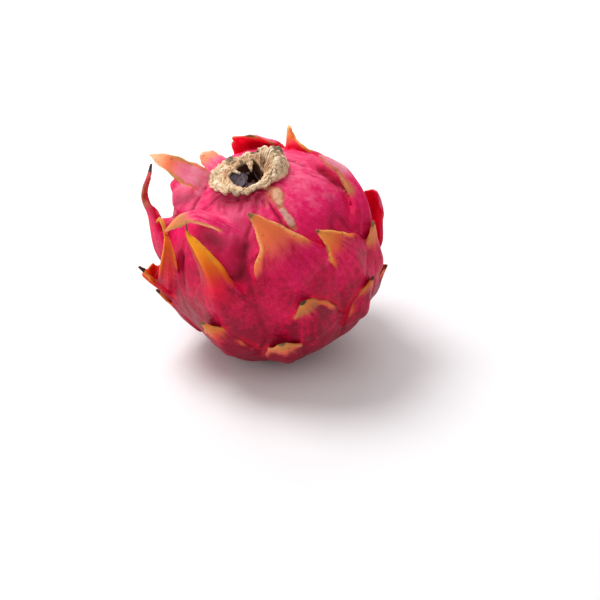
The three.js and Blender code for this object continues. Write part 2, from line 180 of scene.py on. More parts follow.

# Folds of the rind: places that each runs through, its depth, negative if it stands up, and its
# half width. The deep folds are also painted darker, as painted shade in their creases.
FOLDS = [
    ([(-65, 67.5), (-65.6, 61.4), (-64.8, 57.7), (-64.9, 50), (-63.4, 45), (-62, 40)], 1.5, 0.7),
    ([(-176, 67), (-178, 64), (-170, 58.5), (-164, 54), (-163, 50)], 1.8, 1),
    ([(178, 62), (178.5, 56), (179, 49), (178, 42)], 0.8, 3.4),
    ([(144, 27), (149, 34), (153, 40.5), (156, 44)], -4, 5.4),
    ([(173, 17), (170.5, 24), (169.5, 28.5)], -4.8, 3.2),
    ([(58, 45), (53.5, 43.6), (47, 43.3), (40, 43.2), (35, 43)], 0.9, 1.1),
    ([(-148, 34), (-147.5, 27), (-146.5, 18), (-145, 8)], 1.6, 2.4),
    ([(-142, 47), (-127, 46.5), (-114, 44), (-107, 42)], 0.9, 3.8),
    ([(14, 52), (10, 46), (4, 41), (0.6, 33)], 1.6, 3.2),
    ([(-86, 41), (-92, 37.5), (-98, 35.5), (-105, 34)], -0.9, 1),
    ([(150, 35), (153, 41), (160, 44), (172, 46), (179, 45), (-179, 40)], -3.9, 5),
    ([(-97, 49), (-98, 43), (-100, 36), (-102, 28), (-103, 18)], 2, 4.2),
    ([(34, 66), (26, 62.5), (18, 60.5), (10, 55)], 1, 0.8),
    ([(-3, 66), (-9, 57), (-13.5, 50), (-14.5, 40), (-12, 29)], -1.1, 3),
    ([(4, 36), (1, 32), (-4, 29), (-10, 26), (-16, 22), (-20, 17)], 2, 1.1),
    ([(-2, 60), (-2, 52), (-6, 44)], 0.5, 0.7),
    ([(5, 57), (4, 49), (0, 41)], 0.6, 0.7),
    ([(-152, 69), (-132, 70), (-112, 70.5), (-94, 70.5), (-82, 71)], 1.1, 1.5),
    ([(-80, 73), (-74, 72.4), (-70, 73)], -1.5, 1.9),
    ([(-148, 67), (-148, 61), (-152, 55)], 0.6, 0.6),
    ([(-140, 68), (-134, 64), (-127, 60)], 0.5, 0.6),
    ([(-130, 68), (-122, 62), (-111, 58)], 0.5, 0.6),
    ([(-102, 71), (-100, 65), (-103, 60)], 0.5, 0.7),
    ([(-72, 67), (-71, 64), (-72, 61)], 0.8, 0.7),
    ([(70, 68), (66, 60), (68, 50)], 0.7, 1.3),
    ([(140, 66), (142, 56), (140, 46)], 0.8, 1.3),
]
# Where the rind is paler, deeper or duller: longitude, latitude, how many degrees it reaches,
# how much paler it is, or deeper where that is negative, and how dusty. The paler left side is
# painted light where the lamps leave it in shade, and the deeper places beside the right-hand
# hugging scale are painted shade in the pocket below its margin.
PAINTED_LIGHT_SHADE_AND_DUST = [
    (166, 50, 17, 0.35, 0), (-6, 58, 12, 0.12, 0), (-108, 58, 16, 0.03, 0.55),
    (15, 44.5, 6, -0.26, 0), (6, 39, 6, -0.24, 0), (-6, 31, 5, -0.22, 0),
]

# Dried patches beside the first fold: how dry each is, places along it and its half width there.
DRY_PATCHES = [
    (1, [
        (-52, 73.5, 1.9), (-49, 69, 2.8), (-50.5, 65.5, 3.6), (-54.5, 62, 3), (-57.5, 58, 1.9),
        (-58.8, 54.5, 2), (-58.7, 51, 2.7), (-58.6, 47.5, 2.7), (-58.5, 44, 1),
    ]),
    (0.4, [(-52, 74, 1.8), (-58, 71.5, 1.9), (-64, 67, 1.5), (-68, 64.5, 1.3), (-71, 62, 0.6)]),
]
# Light middles of the patches: from one place to another, half width and how grey.
PATCH_CORES = [((-47.4, 67), (-54, 62.5), 2.5, 0), ((-58.7, 55), (-58.4, 47.5), 2.1, 1)]

# The scar's collar round the blossom axis: its edge, its crest and the hollow's lip are
# distances from the axis, and its height is measured from the fruit's middle.
RimPlace = namedtuple("RimPlace", "angle edge crest height hollow")
RIM = [RimPlace(*numbers) for numbers in (
    (-178, 17.9, 13.4, 46, 9.4), (-150, 14.4, 11.8, 45.8, 8.8), (-120, 13.7, 11.8, 45.7, 9.4),
    (-95, 15, 12.4, 45.8, 10.4), (-78, 12.6, 11.2, 46, 9.9), (-62, 13.6, 11.6, 46, 9.9),
    (-48, 13.2, 11.8, 46.4, 9.8), (-32, 13.8, 12, 47, 9), (-15, 15.8, 13, 48.4, 8.4),
    (5, 18, 14.4, 49.8, 8), (28, 18.8, 15.2, 50.8, 7.8), (50, 17.2, 14.4, 49.2, 8.4),
    (75, 15, 13.2, 47.6, 10.8), (97, 13.2, 11.6, 46.4, 9.4), (118, 15.4, 12.2, 46.6, 9),
    (135, 17.6, 13, 46.6, 8.4), (150, 18.8, 13.8, 46.4, 9), (166, 20.6, 14.4, 46.2, 9.8),
)]
# Lumps and pits on the collar: angle, distance from the axis, size, height and how grey each is.
LUMPS = [
    (125, 13.7, 2.3, 1.3, 1), (109, 8.9, 0.9, 0.5, 0.9), (76, 13.4, 1.9, 0.6, 1),
    (35, 16.8, 2, 1.8, 1), (22, 15, 1.3, -1.6, 0.6), (8, 15.5, 2.4, 1.2, 0),
    (-12, 14.6, 1.8, 1, 0.1), (60, 15.2, 2.6, 0.3, 0), (-118, 13.4, 1.5, 0.3, 0.8),
    (-101, 13.6, 1.1, 0.2, 0.8), (170, 15, 2.5, 0.7, 0.2), (-160, 14.2, 1.6, 0.5, 0),
]

# Cracks of the collar: places along each as an angle and a distance, its depth and half width.
CRACKS = [
    ([(14, 12.8), (6, 11.4), (-3, 11), (-13, 10.8)], 0.8, 0.5),
    ([(35, 15.4), (26, 15.2), (17, 15.2), (8, 14.4)], 0.9, 0.7),
    ([(77, 13.2), (72, 12.9), (67, 12.8)], 1.3, 0.8),
    ([(152, 12.6), (143, 12.3), (132, 11), (118, 10.2)], 0.9, 0.5),
    ([(-20, 12.2), (-30, 12.6), (-38, 12.2)], 0.6, 0.4),
]

# Flakes in the hollow. Each has its middle, three angles, half its length and width, how far it
# curls across and arches along, how much it narrows, its thickness, and shares of slate grey
# and cork.
Flake = namedtuple(
    "Flake", "middle heading pitch roll length width curl arch narrows thickness slate cork"
)
FLAKES = [Flake(*numbers) for numbers in (
    ((-5.4, -2.4, 42.8), -118, -6, -10, 6.4, 3.8, 0.35, 0.05, 0.1, 0.6, 1, 0),
    ((-1.8, -6.4, 42.4), -62, 6, -14, 4.8, 3.2, 0.4, 0.1, 0.2, 0.6, 0.85, 0),
    ((-2.6, -1.2, 42.6), -80, -8, 22, 5.2, 2.2, 0.6, 0.05, 0.3, 0.5, 0.6, 0),
    ((-3.2, 5.6, 41.2), 150, -10, 18, 3.4, 2, 0.4, 0.1, 0.2, 0.6, 0.3, 0),
    ((1.4, -3.6, 41.2), -75, 14, 26, 4.4, 1.9, 0.6, 0, 0.3, 0.5, 0.25, 0),
    ((3.4, -6.6, 40.4), -30, 10, -30, 4.2, 2.6, 0.4, 0.1, 0.2, 0.5, 0.1, 0),
    ((5.6, -1, 39.6), 80, 20, 50, 4.6, 2.4, 0.5, 0.1, 0.2, 0.5, 0, 0),
    ((3, 3.6, 39.4), 110, 10, 60, 4, 2.2, 0.4, 0.1, 0.2, 0.5, 0, 0),
    ((0.8, 8, 44.5), -88, -24, 8, 4.2, 2.6, -0.3, -0.05, 0.9, 0.6, 0, 1),
    ((-7.6, 5.6, 44.9), -42, -8, -20, 5, 2.8, -0.3, -0.04, 0.9, 0.6, 0, 1),
)]


# ---- Small helpers ----
def linear(red, green, blue):
    """An sRGB colour of 0 to 255 as linear values."""
    values = np.array([red, green, blue]) / 255
    low = values / 12.92
    high = ((values + 0.055) / 1.055) ** 2.4
    return tuple(float(v) for v in np.where(values <= 0.04045, low, high))


def smoothstep(low, high, value):
    t = np.clip((value - low) / (high - low), 0, 1)
    return t * t * (3 - 2 * t)


def mix(a, b, t):
    return a + (b - a) * t


def lengths(vectors):
    return np.linalg.norm(vectors, axis=-1)


def unit(vectors):
    return vectors / lengths(vectors)[..., None]


def noise_at(points, size, seed):
    """Smooth noise of about -1 to 1 at each point, with lumps of the given size."""
    offset = Vector((seed, 2.3 * seed, -1.7 * seed))
    return np.array([noise.noise(Vector(p) / size + offset) for p in points])


def fractal_at(points, size, octaves, seed):
    """Noise with finer noises of half the size and half the strength added to it."""
    return sum(noise_at(points, size / 2**k, seed + k) / 2**k for k in range(octaves))


def curve_through(points, steps):
    """A smooth curve through points, even in steps between them."""
    points = np.array(points, float)
    last = len(points) - 1
    padded = np.vstack([2 * points[0] - points[1], points, 2 * points[-1] - points[-2]])
    t = np.linspace(0, last, steps + 1)
    knot = np.minimum(t.astype(int), last - 1)
    f = (t - knot)[:, None]
    a, b, c, d = (padded[knot + k] for k in range(4))
    return 0.5 * (
        2 * b + (c - a) * f + (2 * a - 5 * b + 4 * c - d) * f**2 + (3 * (b - c) + d - a) * f**3
    )


# ---- The fruit's form, in its own frame ----
def directions(longitude, latitude):
    longitude, latitude = np.radians(longitude), np.radians(latitude)
    flat = np.cos(latitude)
    return np.stack([np.cos(longitude) * flat, np.sin(longitude) * flat, np.sin(latitude)], axis=-1)


def rind_radius(sizes, latitude):
    angle = np.radians(latitude)
    pole = np.where(np.asarray(latitude) > 0, sizes.crown_height, sizes.stem_depth)
    power = sizes.squareness
    across = np.abs(np.cos(angle) / sizes.equator_radius) ** power
    along = np.abs(np.sin(angle) / pole) ** power
    return (across + along) ** (-1 / power)


def place(sizes, longitude, latitude, height=0.0):
    radius = rind_radius(sizes, latitude) + height
    return directions(longitude, latitude) * np.asarray(radius)[..., None]


def stand(sizes, points):
    """From the fruit's own frame to the object's frame, in metres."""
    turned = np.asarray(points) @ np.array(LEAN.transposed())
    return (turned + (0, 0, sizes.rest_height)) * MM


def unstand(sizes, points):
    return (np.asarray(points) / MM - (0, 0, sizes.rest_height)) @ np.array(LEAN)


def spiral_scale(sizes, index):
    rise = index / (SPIRAL_COUNT - 1)
    longitude = SPIRAL_START + SPIRAL_TURN * index
    low, high = (math.sin(math.radians(a)) for a in SPIRAL_LATITUDES)
    latitude = math.degrees(math.asin(mix(low, high, rise)))
    sway = math.sin(2.4 * index)
    length = mix(*SPIRAL_LENGTHS, rise) * (1 + 0.1 * sway)
    half = mix(*SPIRAL_HALF_WIDTHS, rise)
    flare = mix(*SPIRAL_FLARES, rise) * (1 + 0.25 * sway)
    reach = math.degrees(length / sizes.equator_radius)
    lean = 6 * math.cos(1.7 * index)
    spine = [
        (longitude, latitude - 0.5 * reach, -4, half),
        (longitude, latitude - 0.2 * reach, 1.5, half),
        (longitude + 0.3 * lean, latitude + 0.15 * reach, 1.5 + 0.35 * flare, 0.7 * half),
        (longitude + lean, latitude + 0.45 * reach, 1.5 + flare, 0.5),
    ]
    vary = math.sin(5.1 * index)
    olive = (0.35 + 0.3 * math.cos(4.1 * index), 0.88, 0.2)
    glow, hue = 0.75 + 0.2 * math.sin(2.9 * index), 0.35 + 0.3 * math.sin(3.3 * index)
    finish = Finish(
        0.74 + 0.1 * vary, glow, 0.45, 0.2, (0.7, 0.7), hue, 0.95, 0.5 + 0.3 * vary, olive, 0.5, 0, 0
    )
    return Scale(spine, finish, cup=0.28, swell=mix(*SPIRAL_SWELLS, rise))


def all_scales(sizes):
    crown = list(CROWN_SCALES.values())
    roots = [place(sizes, *scale.spine[1][:3]) for scale in crown]

    def has_room(scale):
        root = place(sizes, *scale.spine[1][:3])
        nearest = min(np.linalg.norm(root - other) for other in roots)
        return nearest > CROWN_CLEARANCE and stand(sizes, root)[2] > REST_CLEARANCE * MM

    spiral = [spiral_scale(sizes, i) for i in range(SPIRAL_COUNT)]
    return crown + [scale for scale in spiral if has_room(scale)]


def base(scale):
    """Longitude, latitude and half width of the rind's swelling below a scale."""
    longitude, latitude, _, half = scale.spine[1]
    return longitude, latitude, max(half, LEAST_SWELLING)


def swelling(sizes, scales, ways):
    """How far the rind stands out below each scale, at unit directions."""
    total = np.zeros(len(ways))
    drop = math.degrees(sizes.swell_step / sizes.equator_radius)
    for scale in scales:
        longitude, latitude, half = base(scale)
        for step in range(3):
            middle = place(sizes, longitude, latitude - step * drop)
            away = lengths(ways * np.linalg.norm(middle) - middle)
            reach = half * (0.75 - 0.12 * step)
            height = sizes.swell_height * scale.swell * (1 - 0.28 * step)
            total += height * np.exp(-((away / reach) ** 2))
    limit = 1.5 * sizes.swell_height
    return limit * np.tanh(total / limit)


def distance_to_path(points, path):
    """Distance of each point from a line through a path's points, and where along it."""
    nearest, share = np.full(len(points), np.inf), np.zeros(len(points))
    for step, (a, b) in enumerate(zip(path[:-1], path[1:])):
        side = b - a
        t = np.clip(((points - a) @ side) / (side @ side), 0, 1)
        away = lengths(points - a - t[:, None] * side)
        share = np.where(away < nearest, (step + t) / (len(path) - 1), share)
        nearest = np.minimum(nearest, away)
    return nearest, share


def valleys(sizes, scales, ways):
    """1 where the bases of two neighbouring scales meet, 0 elsewhere."""
    drop = math.degrees(VALLEY_LENGTH / sizes.equator_radius)
    surface = ways * sizes.equator_radius
    first = np.full(len(ways), np.inf)
    second = first.copy()
    for scale in scales:
        longitude, latitude, half = base(scale)
        ends = [(longitude, latitude + VALLEY_START), (longitude, latitude - drop)]
        path = [directions(*end) * sizes.equator_radius for end in ends]
        away = distance_to_path(surface, path)[0] / half
        second = np.minimum(second, np.maximum(first, away))
        first = np.minimum(first, away)
    return np.exp(-(((second - first) / 0.16) ** 2)) * smoothstep(2.4, 1.2, first)


def radius_at(sizes, ways):
    return rind_radius(sizes, np.degrees(np.arcsin(ways[:, 2])))


def rind_places(sizes, ways):
    return ways * radius_at(sizes, ways)[:, None]


def fold_heights(sizes, ways):
    """Height of the rind's folds, and how much of each place is in a deep one."""
    surface = rind_places(sizes, ways)
    surface = surface + 0.5 * noise_at(surface, 4, 61)[:, None]
    height, share = np.zeros(len(ways)), np.zeros(len(ways))
    for places, deep, half in FOLDS:
        path = curve_through([place(sizes, *p) for p in places], 20)
        away, along = distance_to_path(surface, path)
        fade = smoothstep(0, 0.25, along) * smoothstep(1, 0.75, along)
        line = np.exp(-((away / half) ** 2)) * fade
        lips = np.exp(-(((away - 2.2 * half) / (1.3 * half)) ** 2)) * fade
        height -= deep * (line - 0.3 * lips) if deep > 0 else deep * line
        if deep > 0:
            # This share is where painted shade goes into the creases.
            share = np.maximum(share, line**1.5 * min(1, deep) * (1 if half < 2 else 0.8))
    return height, share


def patch_share(sizes, ways):
    surface = rind_places(sizes, ways)
    ragged = 1 + 0.45 * noise_at(surface, 2.2, 5) + 0.2 * noise_at(surface, 0.9, 6)
    share = np.zeros(len(ways))
    for dryness, places in DRY_PATCHES:
        path = curve_through([place(sizes, *p[:2]) for p in places], 28)
        away, along = distance_to_path(surface, path)
        half = np.interp(along * (len(places) - 1), range(len(places)), [p[2] for p in places])
        share = np.maximum(share, dryness * smoothstep(1.3, 0.3, away / (half * ragged)))
    return share


def patch_cores(sizes, ways):
    """How much of each place is a light middle of a dry patch, and how grey it is."""
    surface = rind_places(sizes, ways)
    ragged = 1 + 0.5 * noise_at(surface, 2.4, 15) + 0.25 * noise_at(surface, 1.0, 16)
    core, grey = np.zeros(len(ways)), np.zeros(len(ways))
    for start, end, half, greyness in PATCH_CORES:
        path = np.array([place(sizes, *start), place(sizes, *end)])
        share = smoothstep(1.35, 0.4, distance_to_path(surface, path)[0] / (half * ragged))
        core = np.maximum(core, share)
        grey += greyness * share
    return core, grey


# ---- Meshes ----
def move_verts(verts, places):
    for vert, where in zip(verts, places):
        vert.co = where


def faces_of(verts):
    return list({face for vert in verts for face in vert.link_faces})


def add_slab(bm, grid, shape):
    """Adds one closed slab to a bmesh and returns its number of points.

    It is a grid, extruded by 1, whose points are then moved by shape(points).
    """
    verts = bmesh.ops.create_grid(bm, x_segments=grid[0], y_segments=grid[1], size=1)["verts"]
    grown = bmesh.ops.extrude_face_region(bm, geom=faces_of(verts))["geom"]
    top = [part for part in grown if isinstance(part, bmesh.types.BMVert)]
    bmesh.ops.translate(bm, verts=top, vec=(0, 0, 1))
    verts += top
    move_verts(verts, shape(np.array([vert.co for vert in verts])))
    bmesh.ops.recalc_face_normals(bm, faces=faces_of(verts))
    return len(verts)


def mesh_of(bm, name):
    """A new mesh with what the bmesh holds; the bmesh is freed."""
    mesh = bpy.data.meshes.new(name)
    bm.to_mesh(mesh)
    bm.free()
    return mesh


def new_piece(name, mesh, material):
    piece = bpy.data.objects.new(name, mesh)
    bpy.context.scene.collection.objects.link(piece)
    mesh.materials.append(material)
    for polygon in mesh.polygons:
        polygon.use_smooth = True
    return piece


def with_modifiers(mesh, name, *modifiers):
    """A new mesh: the given one after modifiers, each a (kind, settings) pair."""
    helper = bpy.data.objects.new(name, mesh)
    bpy.context.scene.collection.objects.link(helper)
    for kind, settings in modifiers:
        modifier = helper.modifiers.new(kind, kind)
        for key, value in settings.items():
            setattr(modifier, key, value)
    depsgraph = bpy.context.evaluated_depsgraph_get()
    result = bpy.data.meshes.new_from_object(helper.evaluated_get(depsgraph))
    bpy.data.objects.remove(helper)
    result.name = name
    return result


def vertex_vectors(mesh, key):
    flat = np.empty(3 * len(mesh.vertices))
    mesh.vertices.foreach_get(key, flat)
    return flat.reshape(-1, 3)


def skin_of(sizes, mesh):
    """A mesh's points and normals in the fruit's own frame."""
    return unstand(sizes, vertex_vectors(mesh, "co")), vertex_vectors(mesh, "normal") @ np.array(LEAN)


def raise_skin(sizes, mesh, points, normals, height, lowest=-math.inf):
    """Moves a mesh's points out along their normals, but none below the lowest height."""
    placed = stand(sizes, points + normals * height[:, None])
    placed[:, 2] = np.maximum(placed[:, 2], lowest)
    mesh.vertices.foreach_set("co", placed.ravel())
    mesh.update()


def store(mesh, **layers):
    """Keeps numbers or vectors per vertex for the material to read by name."""
    for name, values in layers.items():
        kind, field = ("FLOAT", "value") if values.ndim == 1 else ("FLOAT_VECTOR", "vector")
        layer = mesh.attributes.new(name, kind, "POINT")
        layer.data.foreach_set(field, np.asarray(values, float).ravel())


# ---- Blades ----
def spine_frames(sizes, scale, steps):
    """Points, half widths and the ways across and out along a scale's spine."""
    spine = np.array(scale.spine, float)
    knots = place(sizes, spine[:, 0], spine[:, 1], spine[:, 2])
    points = curve_through(knots, steps)
    along = unit(np.gradient(points, axis=0))
    last = len(spine) - 1
    half = np.interp(np.linspace(0, last, steps + 1), range(last + 1), spine[:, 3])
    out = unit(points[0])
    outs = []
    for i in range(steps + 1):
        out = unit(out - along[i] * (out @ along[i]))
        angle = math.radians(mix(*scale.twist, i / steps))
        turn = Matrix.Rotation(angle, 3, Vector(along[i]))
        outs.append(turn @ Vector(out))
    outs = np.array(outs)
    return points, half, np.cross(outs, along), outs


def blade_points(sizes, scale, seed, u, v, w):
    """Places on a blade: u is -1 to 1 across, v 0 to 1 along, w -1 inside to 1 outside."""
    points, half, across, out = spine_frames(sizes, scale, SPINE_STEPS)
    at = v * SPINE_STEPS

    def along_spine(values):
        low = np.minimum(at.astype(int), SPINE_STEPS - 1)
        part = at - low
        part = part[:, None] if values.ndim > 1 else part
        return values[low] * (1 - part) + values[low + 1] * part

    wave = 1 + sizes.margin_wave * (
        np.sin(17 * v + 2.1 * seed + 1.3 * np.sign(u)) + 0.6 * np.sin(31 * v + seed)
    ) * smoothstep(0.25, 0.5, v)
    width = along_spine(half) * wave
    thickness = mix(sizes.root_thickness, sizes.tip_thickness, v**0.6)
    thinned = np.maximum(thickness * (1 - 0.5 * u * u), sizes.least_margin)
    ruffle = sizes.margin_ruffle * np.sin(13 * v + 1.9 * seed + 2.2 * np.sign(u)) * u * u
    ruffle = ruffle * smoothstep(0.3, 0.6, v) * np.minimum(1, width / 5)
    keel = 0.12 * width * np.exp(-((u / 0.3) ** 2)) * smoothstep(0.95, 0.4, v)
    sunk = sizes.root_sink * smoothstep(0.3, 0, v)
    left, right = scale.tuck
    sunk = sunk + np.where(u < 0, left, right) * smoothstep(0.8, 0.55, v)
    cup = scale.cup * width * smoothstep(0.05, 0.45, v)
    lift = -(cup + sunk) * u * u + ruffle + keel + 0.5 * thinned * w
    centre = along_spine(points)
    return centre + along_spine(across) * (width * u)[:, None] + along_spine(out) * lift[:, None]


def add_blade(bm, sizes, scale, seed):
    """Adds one scale's blade to a bmesh."""

    def shape(flat):
        u, v, w = flat[:, 0], 0.5 * (flat[:, 1] + 1), 2 * flat[:, 2] - 1
        return stand(sizes, blade_points(sizes, scale, seed, u, v, w))

    add_slab(bm, BLADE_GRID, shape)


# ---- Node helpers ----
class Shader:
    """A material being built: each call adds a node and returns its output.

    A name stands for one of the colours that the user sets where a colour goes, and for a
    number stored on the mesh where a number goes.
    """

    def __init__(self, name, colours):
        self.colours = colours
        self.material = bpy.data.materials.new(name)
        self.material.use_nodes = True
        self.tree = self.material.node_tree
        self.here = self.node("ShaderNodeTexCoord", output=3)

    def node(self, kind, inputs=None, output=0, **settings):
        made = self.tree.nodes.new(kind)
        for key, value in settings.items():
            setattr(made, key, value)
        for key, value in (inputs or {}).items():
            self.connect(made.inputs[key], value)
        return made.outputs[output]

    def connect(self, socket, value):
        if isinstance(value, str):
            value = getattr(self.colours, value) if socket.type == "RGBA" else self.read(value)
        if isinstance(value, bpy.types.NodeSocket):
            self.tree.links.new(value, socket)
        else:
            socket.default_value = (*value, 1) if socket.type == "RGBA" else value

    def read(self, name, output="Fac"):
        return self.node("ShaderNodeAttribute", output=output, attribute_name=name)

    def noise(self, scale, detail, roughness, along=None):
        """Noise of about 0.5, over the piece or over a vector stored on its mesh."""
        where = self.read(along, "Vector") if along else self.here
        inputs = {"Vector": where, "Scale": scale, "Detail": detail, "Roughness": roughness}
        return self.node("ShaderNodeTexNoise", inputs)

    def range(self, value, low, high, to_low=0.0, to_high=1.0):
        inputs = {0: value, 1: low, 2: high, 3: to_low, 4: to_high}
        return self.node("ShaderNodeMapRange", inputs, interpolation_type="SMOOTHSTEP")

    def math(self, operation, a, b):
        return self.node("ShaderNodeMath", {0: a, 1: b}, operation=operation)

    def times(self, a, b):
        return self.math("MULTIPLY", a, b)

    def add(self, a, b):
        return self.math("ADD", a, b)

    def vary(self, value, weight, middle=0.5):
        """How far a value is from its middle, weighted."""
        return self.times(self.math("SUBTRACT", value, middle), weight)

    def blend(self, share, a, b):
        return self.node("ShaderNodeMix", {0: share, 6: a, 7: b}, 2, data_type="RGBA")

    def ramp(self, value, stops):
        """Colours along a value, each at its place from 0 to 1."""
        made = self.tree.nodes.new("ShaderNodeValToRGB")
        self.connect(made.inputs[0], value)
        elements = made.color_ramp.elements
        while len(elements) < len(stops):
            elements.new(0.5)
        for element, (name, at) in zip(elements, stops.items()):
            element.position = at
            element.color = (*getattr(self.colours, name), 1)
        return made.outputs[0]

    def paint(self, base, *layers):
        """The base colour with others laid over it in turn, each a (share, colour) pair."""
        for share, colour in layers:
            base = self.blend(share, base, colour)
        return base

    def finish(self, bump=None, **values):
        """Sets the surface's inputs; bump is a height, its depth in metres and its strength."""
        if bump:
            inputs = dict(zip(("Height", "Distance", "Strength"), bump))
            values["Normal"] = self.node("ShaderNodeBump", inputs)
        surface = self.tree.nodes["Principled BSDF"]
        for key, value in values.items():
            self.connect(surface.inputs[key.replace("_", " ")], value)
        return self.material


# ---- Rind ----
def rind_mesh(sizes, scales):
    """The rind and its scales as one grown skin."""
    bm = bmesh.new()
    bmesh.ops.create_icosphere(bm, subdivisions=RIND_SUBDIVISIONS, radius=1)
    body = list(bm.verts)
    ways = unit(np.array([vert.co for vert in body]))
    radius = radius_at(sizes, ways)
    height = swelling(sizes, scales, ways) + fold_heights(sizes, ways)[0]
    height -= sizes.valley_depth * valleys(sizes, scales, ways)
    points = ways * (radius + height)[:, None]
    from_axis = np.hypot(points[:, 0], points[:, 1])
    pit = sizes.pit_depth * smoothstep(sizes.pit_radius, sizes.pit_radius - 3.5, from_axis)
    dimple = sizes.dimple_depth * smoothstep(sizes.dimple_radius, 3, from_axis)
    points[:, 2] += np.where(points[:, 2] > 0, -pit, dimple)
    move_verts(body, stand(sizes, points))
    for seed, scale in enumerate(scales):
        add_blade(bm, sizes, scale, seed)
    remesh = ("REMESH", {"mode": "VOXEL", "voxel_size": sizes.grain * MM, "adaptivity": 0})
    smooth = ("SMOOTH", {"factor": 0.5, "iterations": 2})
    grown = with_modifiers(mesh_of(bm, "rind_rough"), "rind_grown", remesh, smooth)
    fewer = ("DECIMATE", {"ratio": min(1, RIND_FACES / (2 * len(grown.polygons)))})
    return with_modifiers(grown, "rind", ("TRIANGULATE", {}), fewer)


def nearest_on_scales(sizes, scales, points):
    """For each point the nearest scale's number, u, v, side and the distance to its skin."""
    across, along = NEARBY_GRID
    u, v = np.meshgrid(np.linspace(-1, 1, across), np.linspace(0, 1, along))
    rows = []
    for number, scale in enumerate(scales):
        for side in (-1.0, 1.0):
            flat = np.full(u.size, side)
            skin = blade_points(sizes, scale, number, u.ravel(), v.ravel(), flat)
            skin = skin.reshape(along, across, 3)
            by_v, by_u = np.gradient(skin, 1 / (along - 1), 2 / (across - 1), axis=(0, 1))
            places = [part.reshape(-1, 3) for part in (skin, by_u, by_v)]
            numbers = np.full(u.size, number)
            rows.append(np.column_stack([*places, numbers, u.ravel(), v.ravel(), flat]))
    rows = np.vstack(rows)
    tree = KDTree(len(rows))
    for index, row in enumerate(rows):
        tree.insert(row[:3], index)
    tree.balance()
    found = rows[[tree.find(point)[1] for point in points]]
    away = points - found[:, 0:3]
    by_u, by_v = found[:, 3:6], found[:, 6:9]
    du = np.sum(away * by_u, axis=1) / np.sum(by_u**2, axis=1)
    dv = np.sum(away * by_v, axis=1) / np.sum(by_v**2, axis=1)
    du = np.clip(du, -1 / (across - 1), 1 / (across - 1))
    dv = np.clip(dv, -0.5 / (along - 1), 0.5 / (along - 1))
    away -= du[:, None] * by_u + dv[:, None] * by_v
    number, u, v, side = found[:, 9:13].T
    return number.astype(int), u + du, v + dv, side, lengths(away)


def smooth_values(mesh, values, rounds):
    """Values per vertex, averaged with their neighbours a few times."""
    edges = np.empty(2 * len(mesh.edges), int)
    mesh.edges.foreach_get("vertices", edges)
    a, b = edges.reshape(-1, 2).T
    count = np.bincount(a, minlength=len(values)) + np.bincount(b, minlength=len(values))
    for _ in range(rounds):
        total = np.bincount(a, values[b], len(values)) + np.bincount(b, values[a], len(values))
        values = 0.5 * values + 0.5 * total / np.maximum(count, 1)
    return values


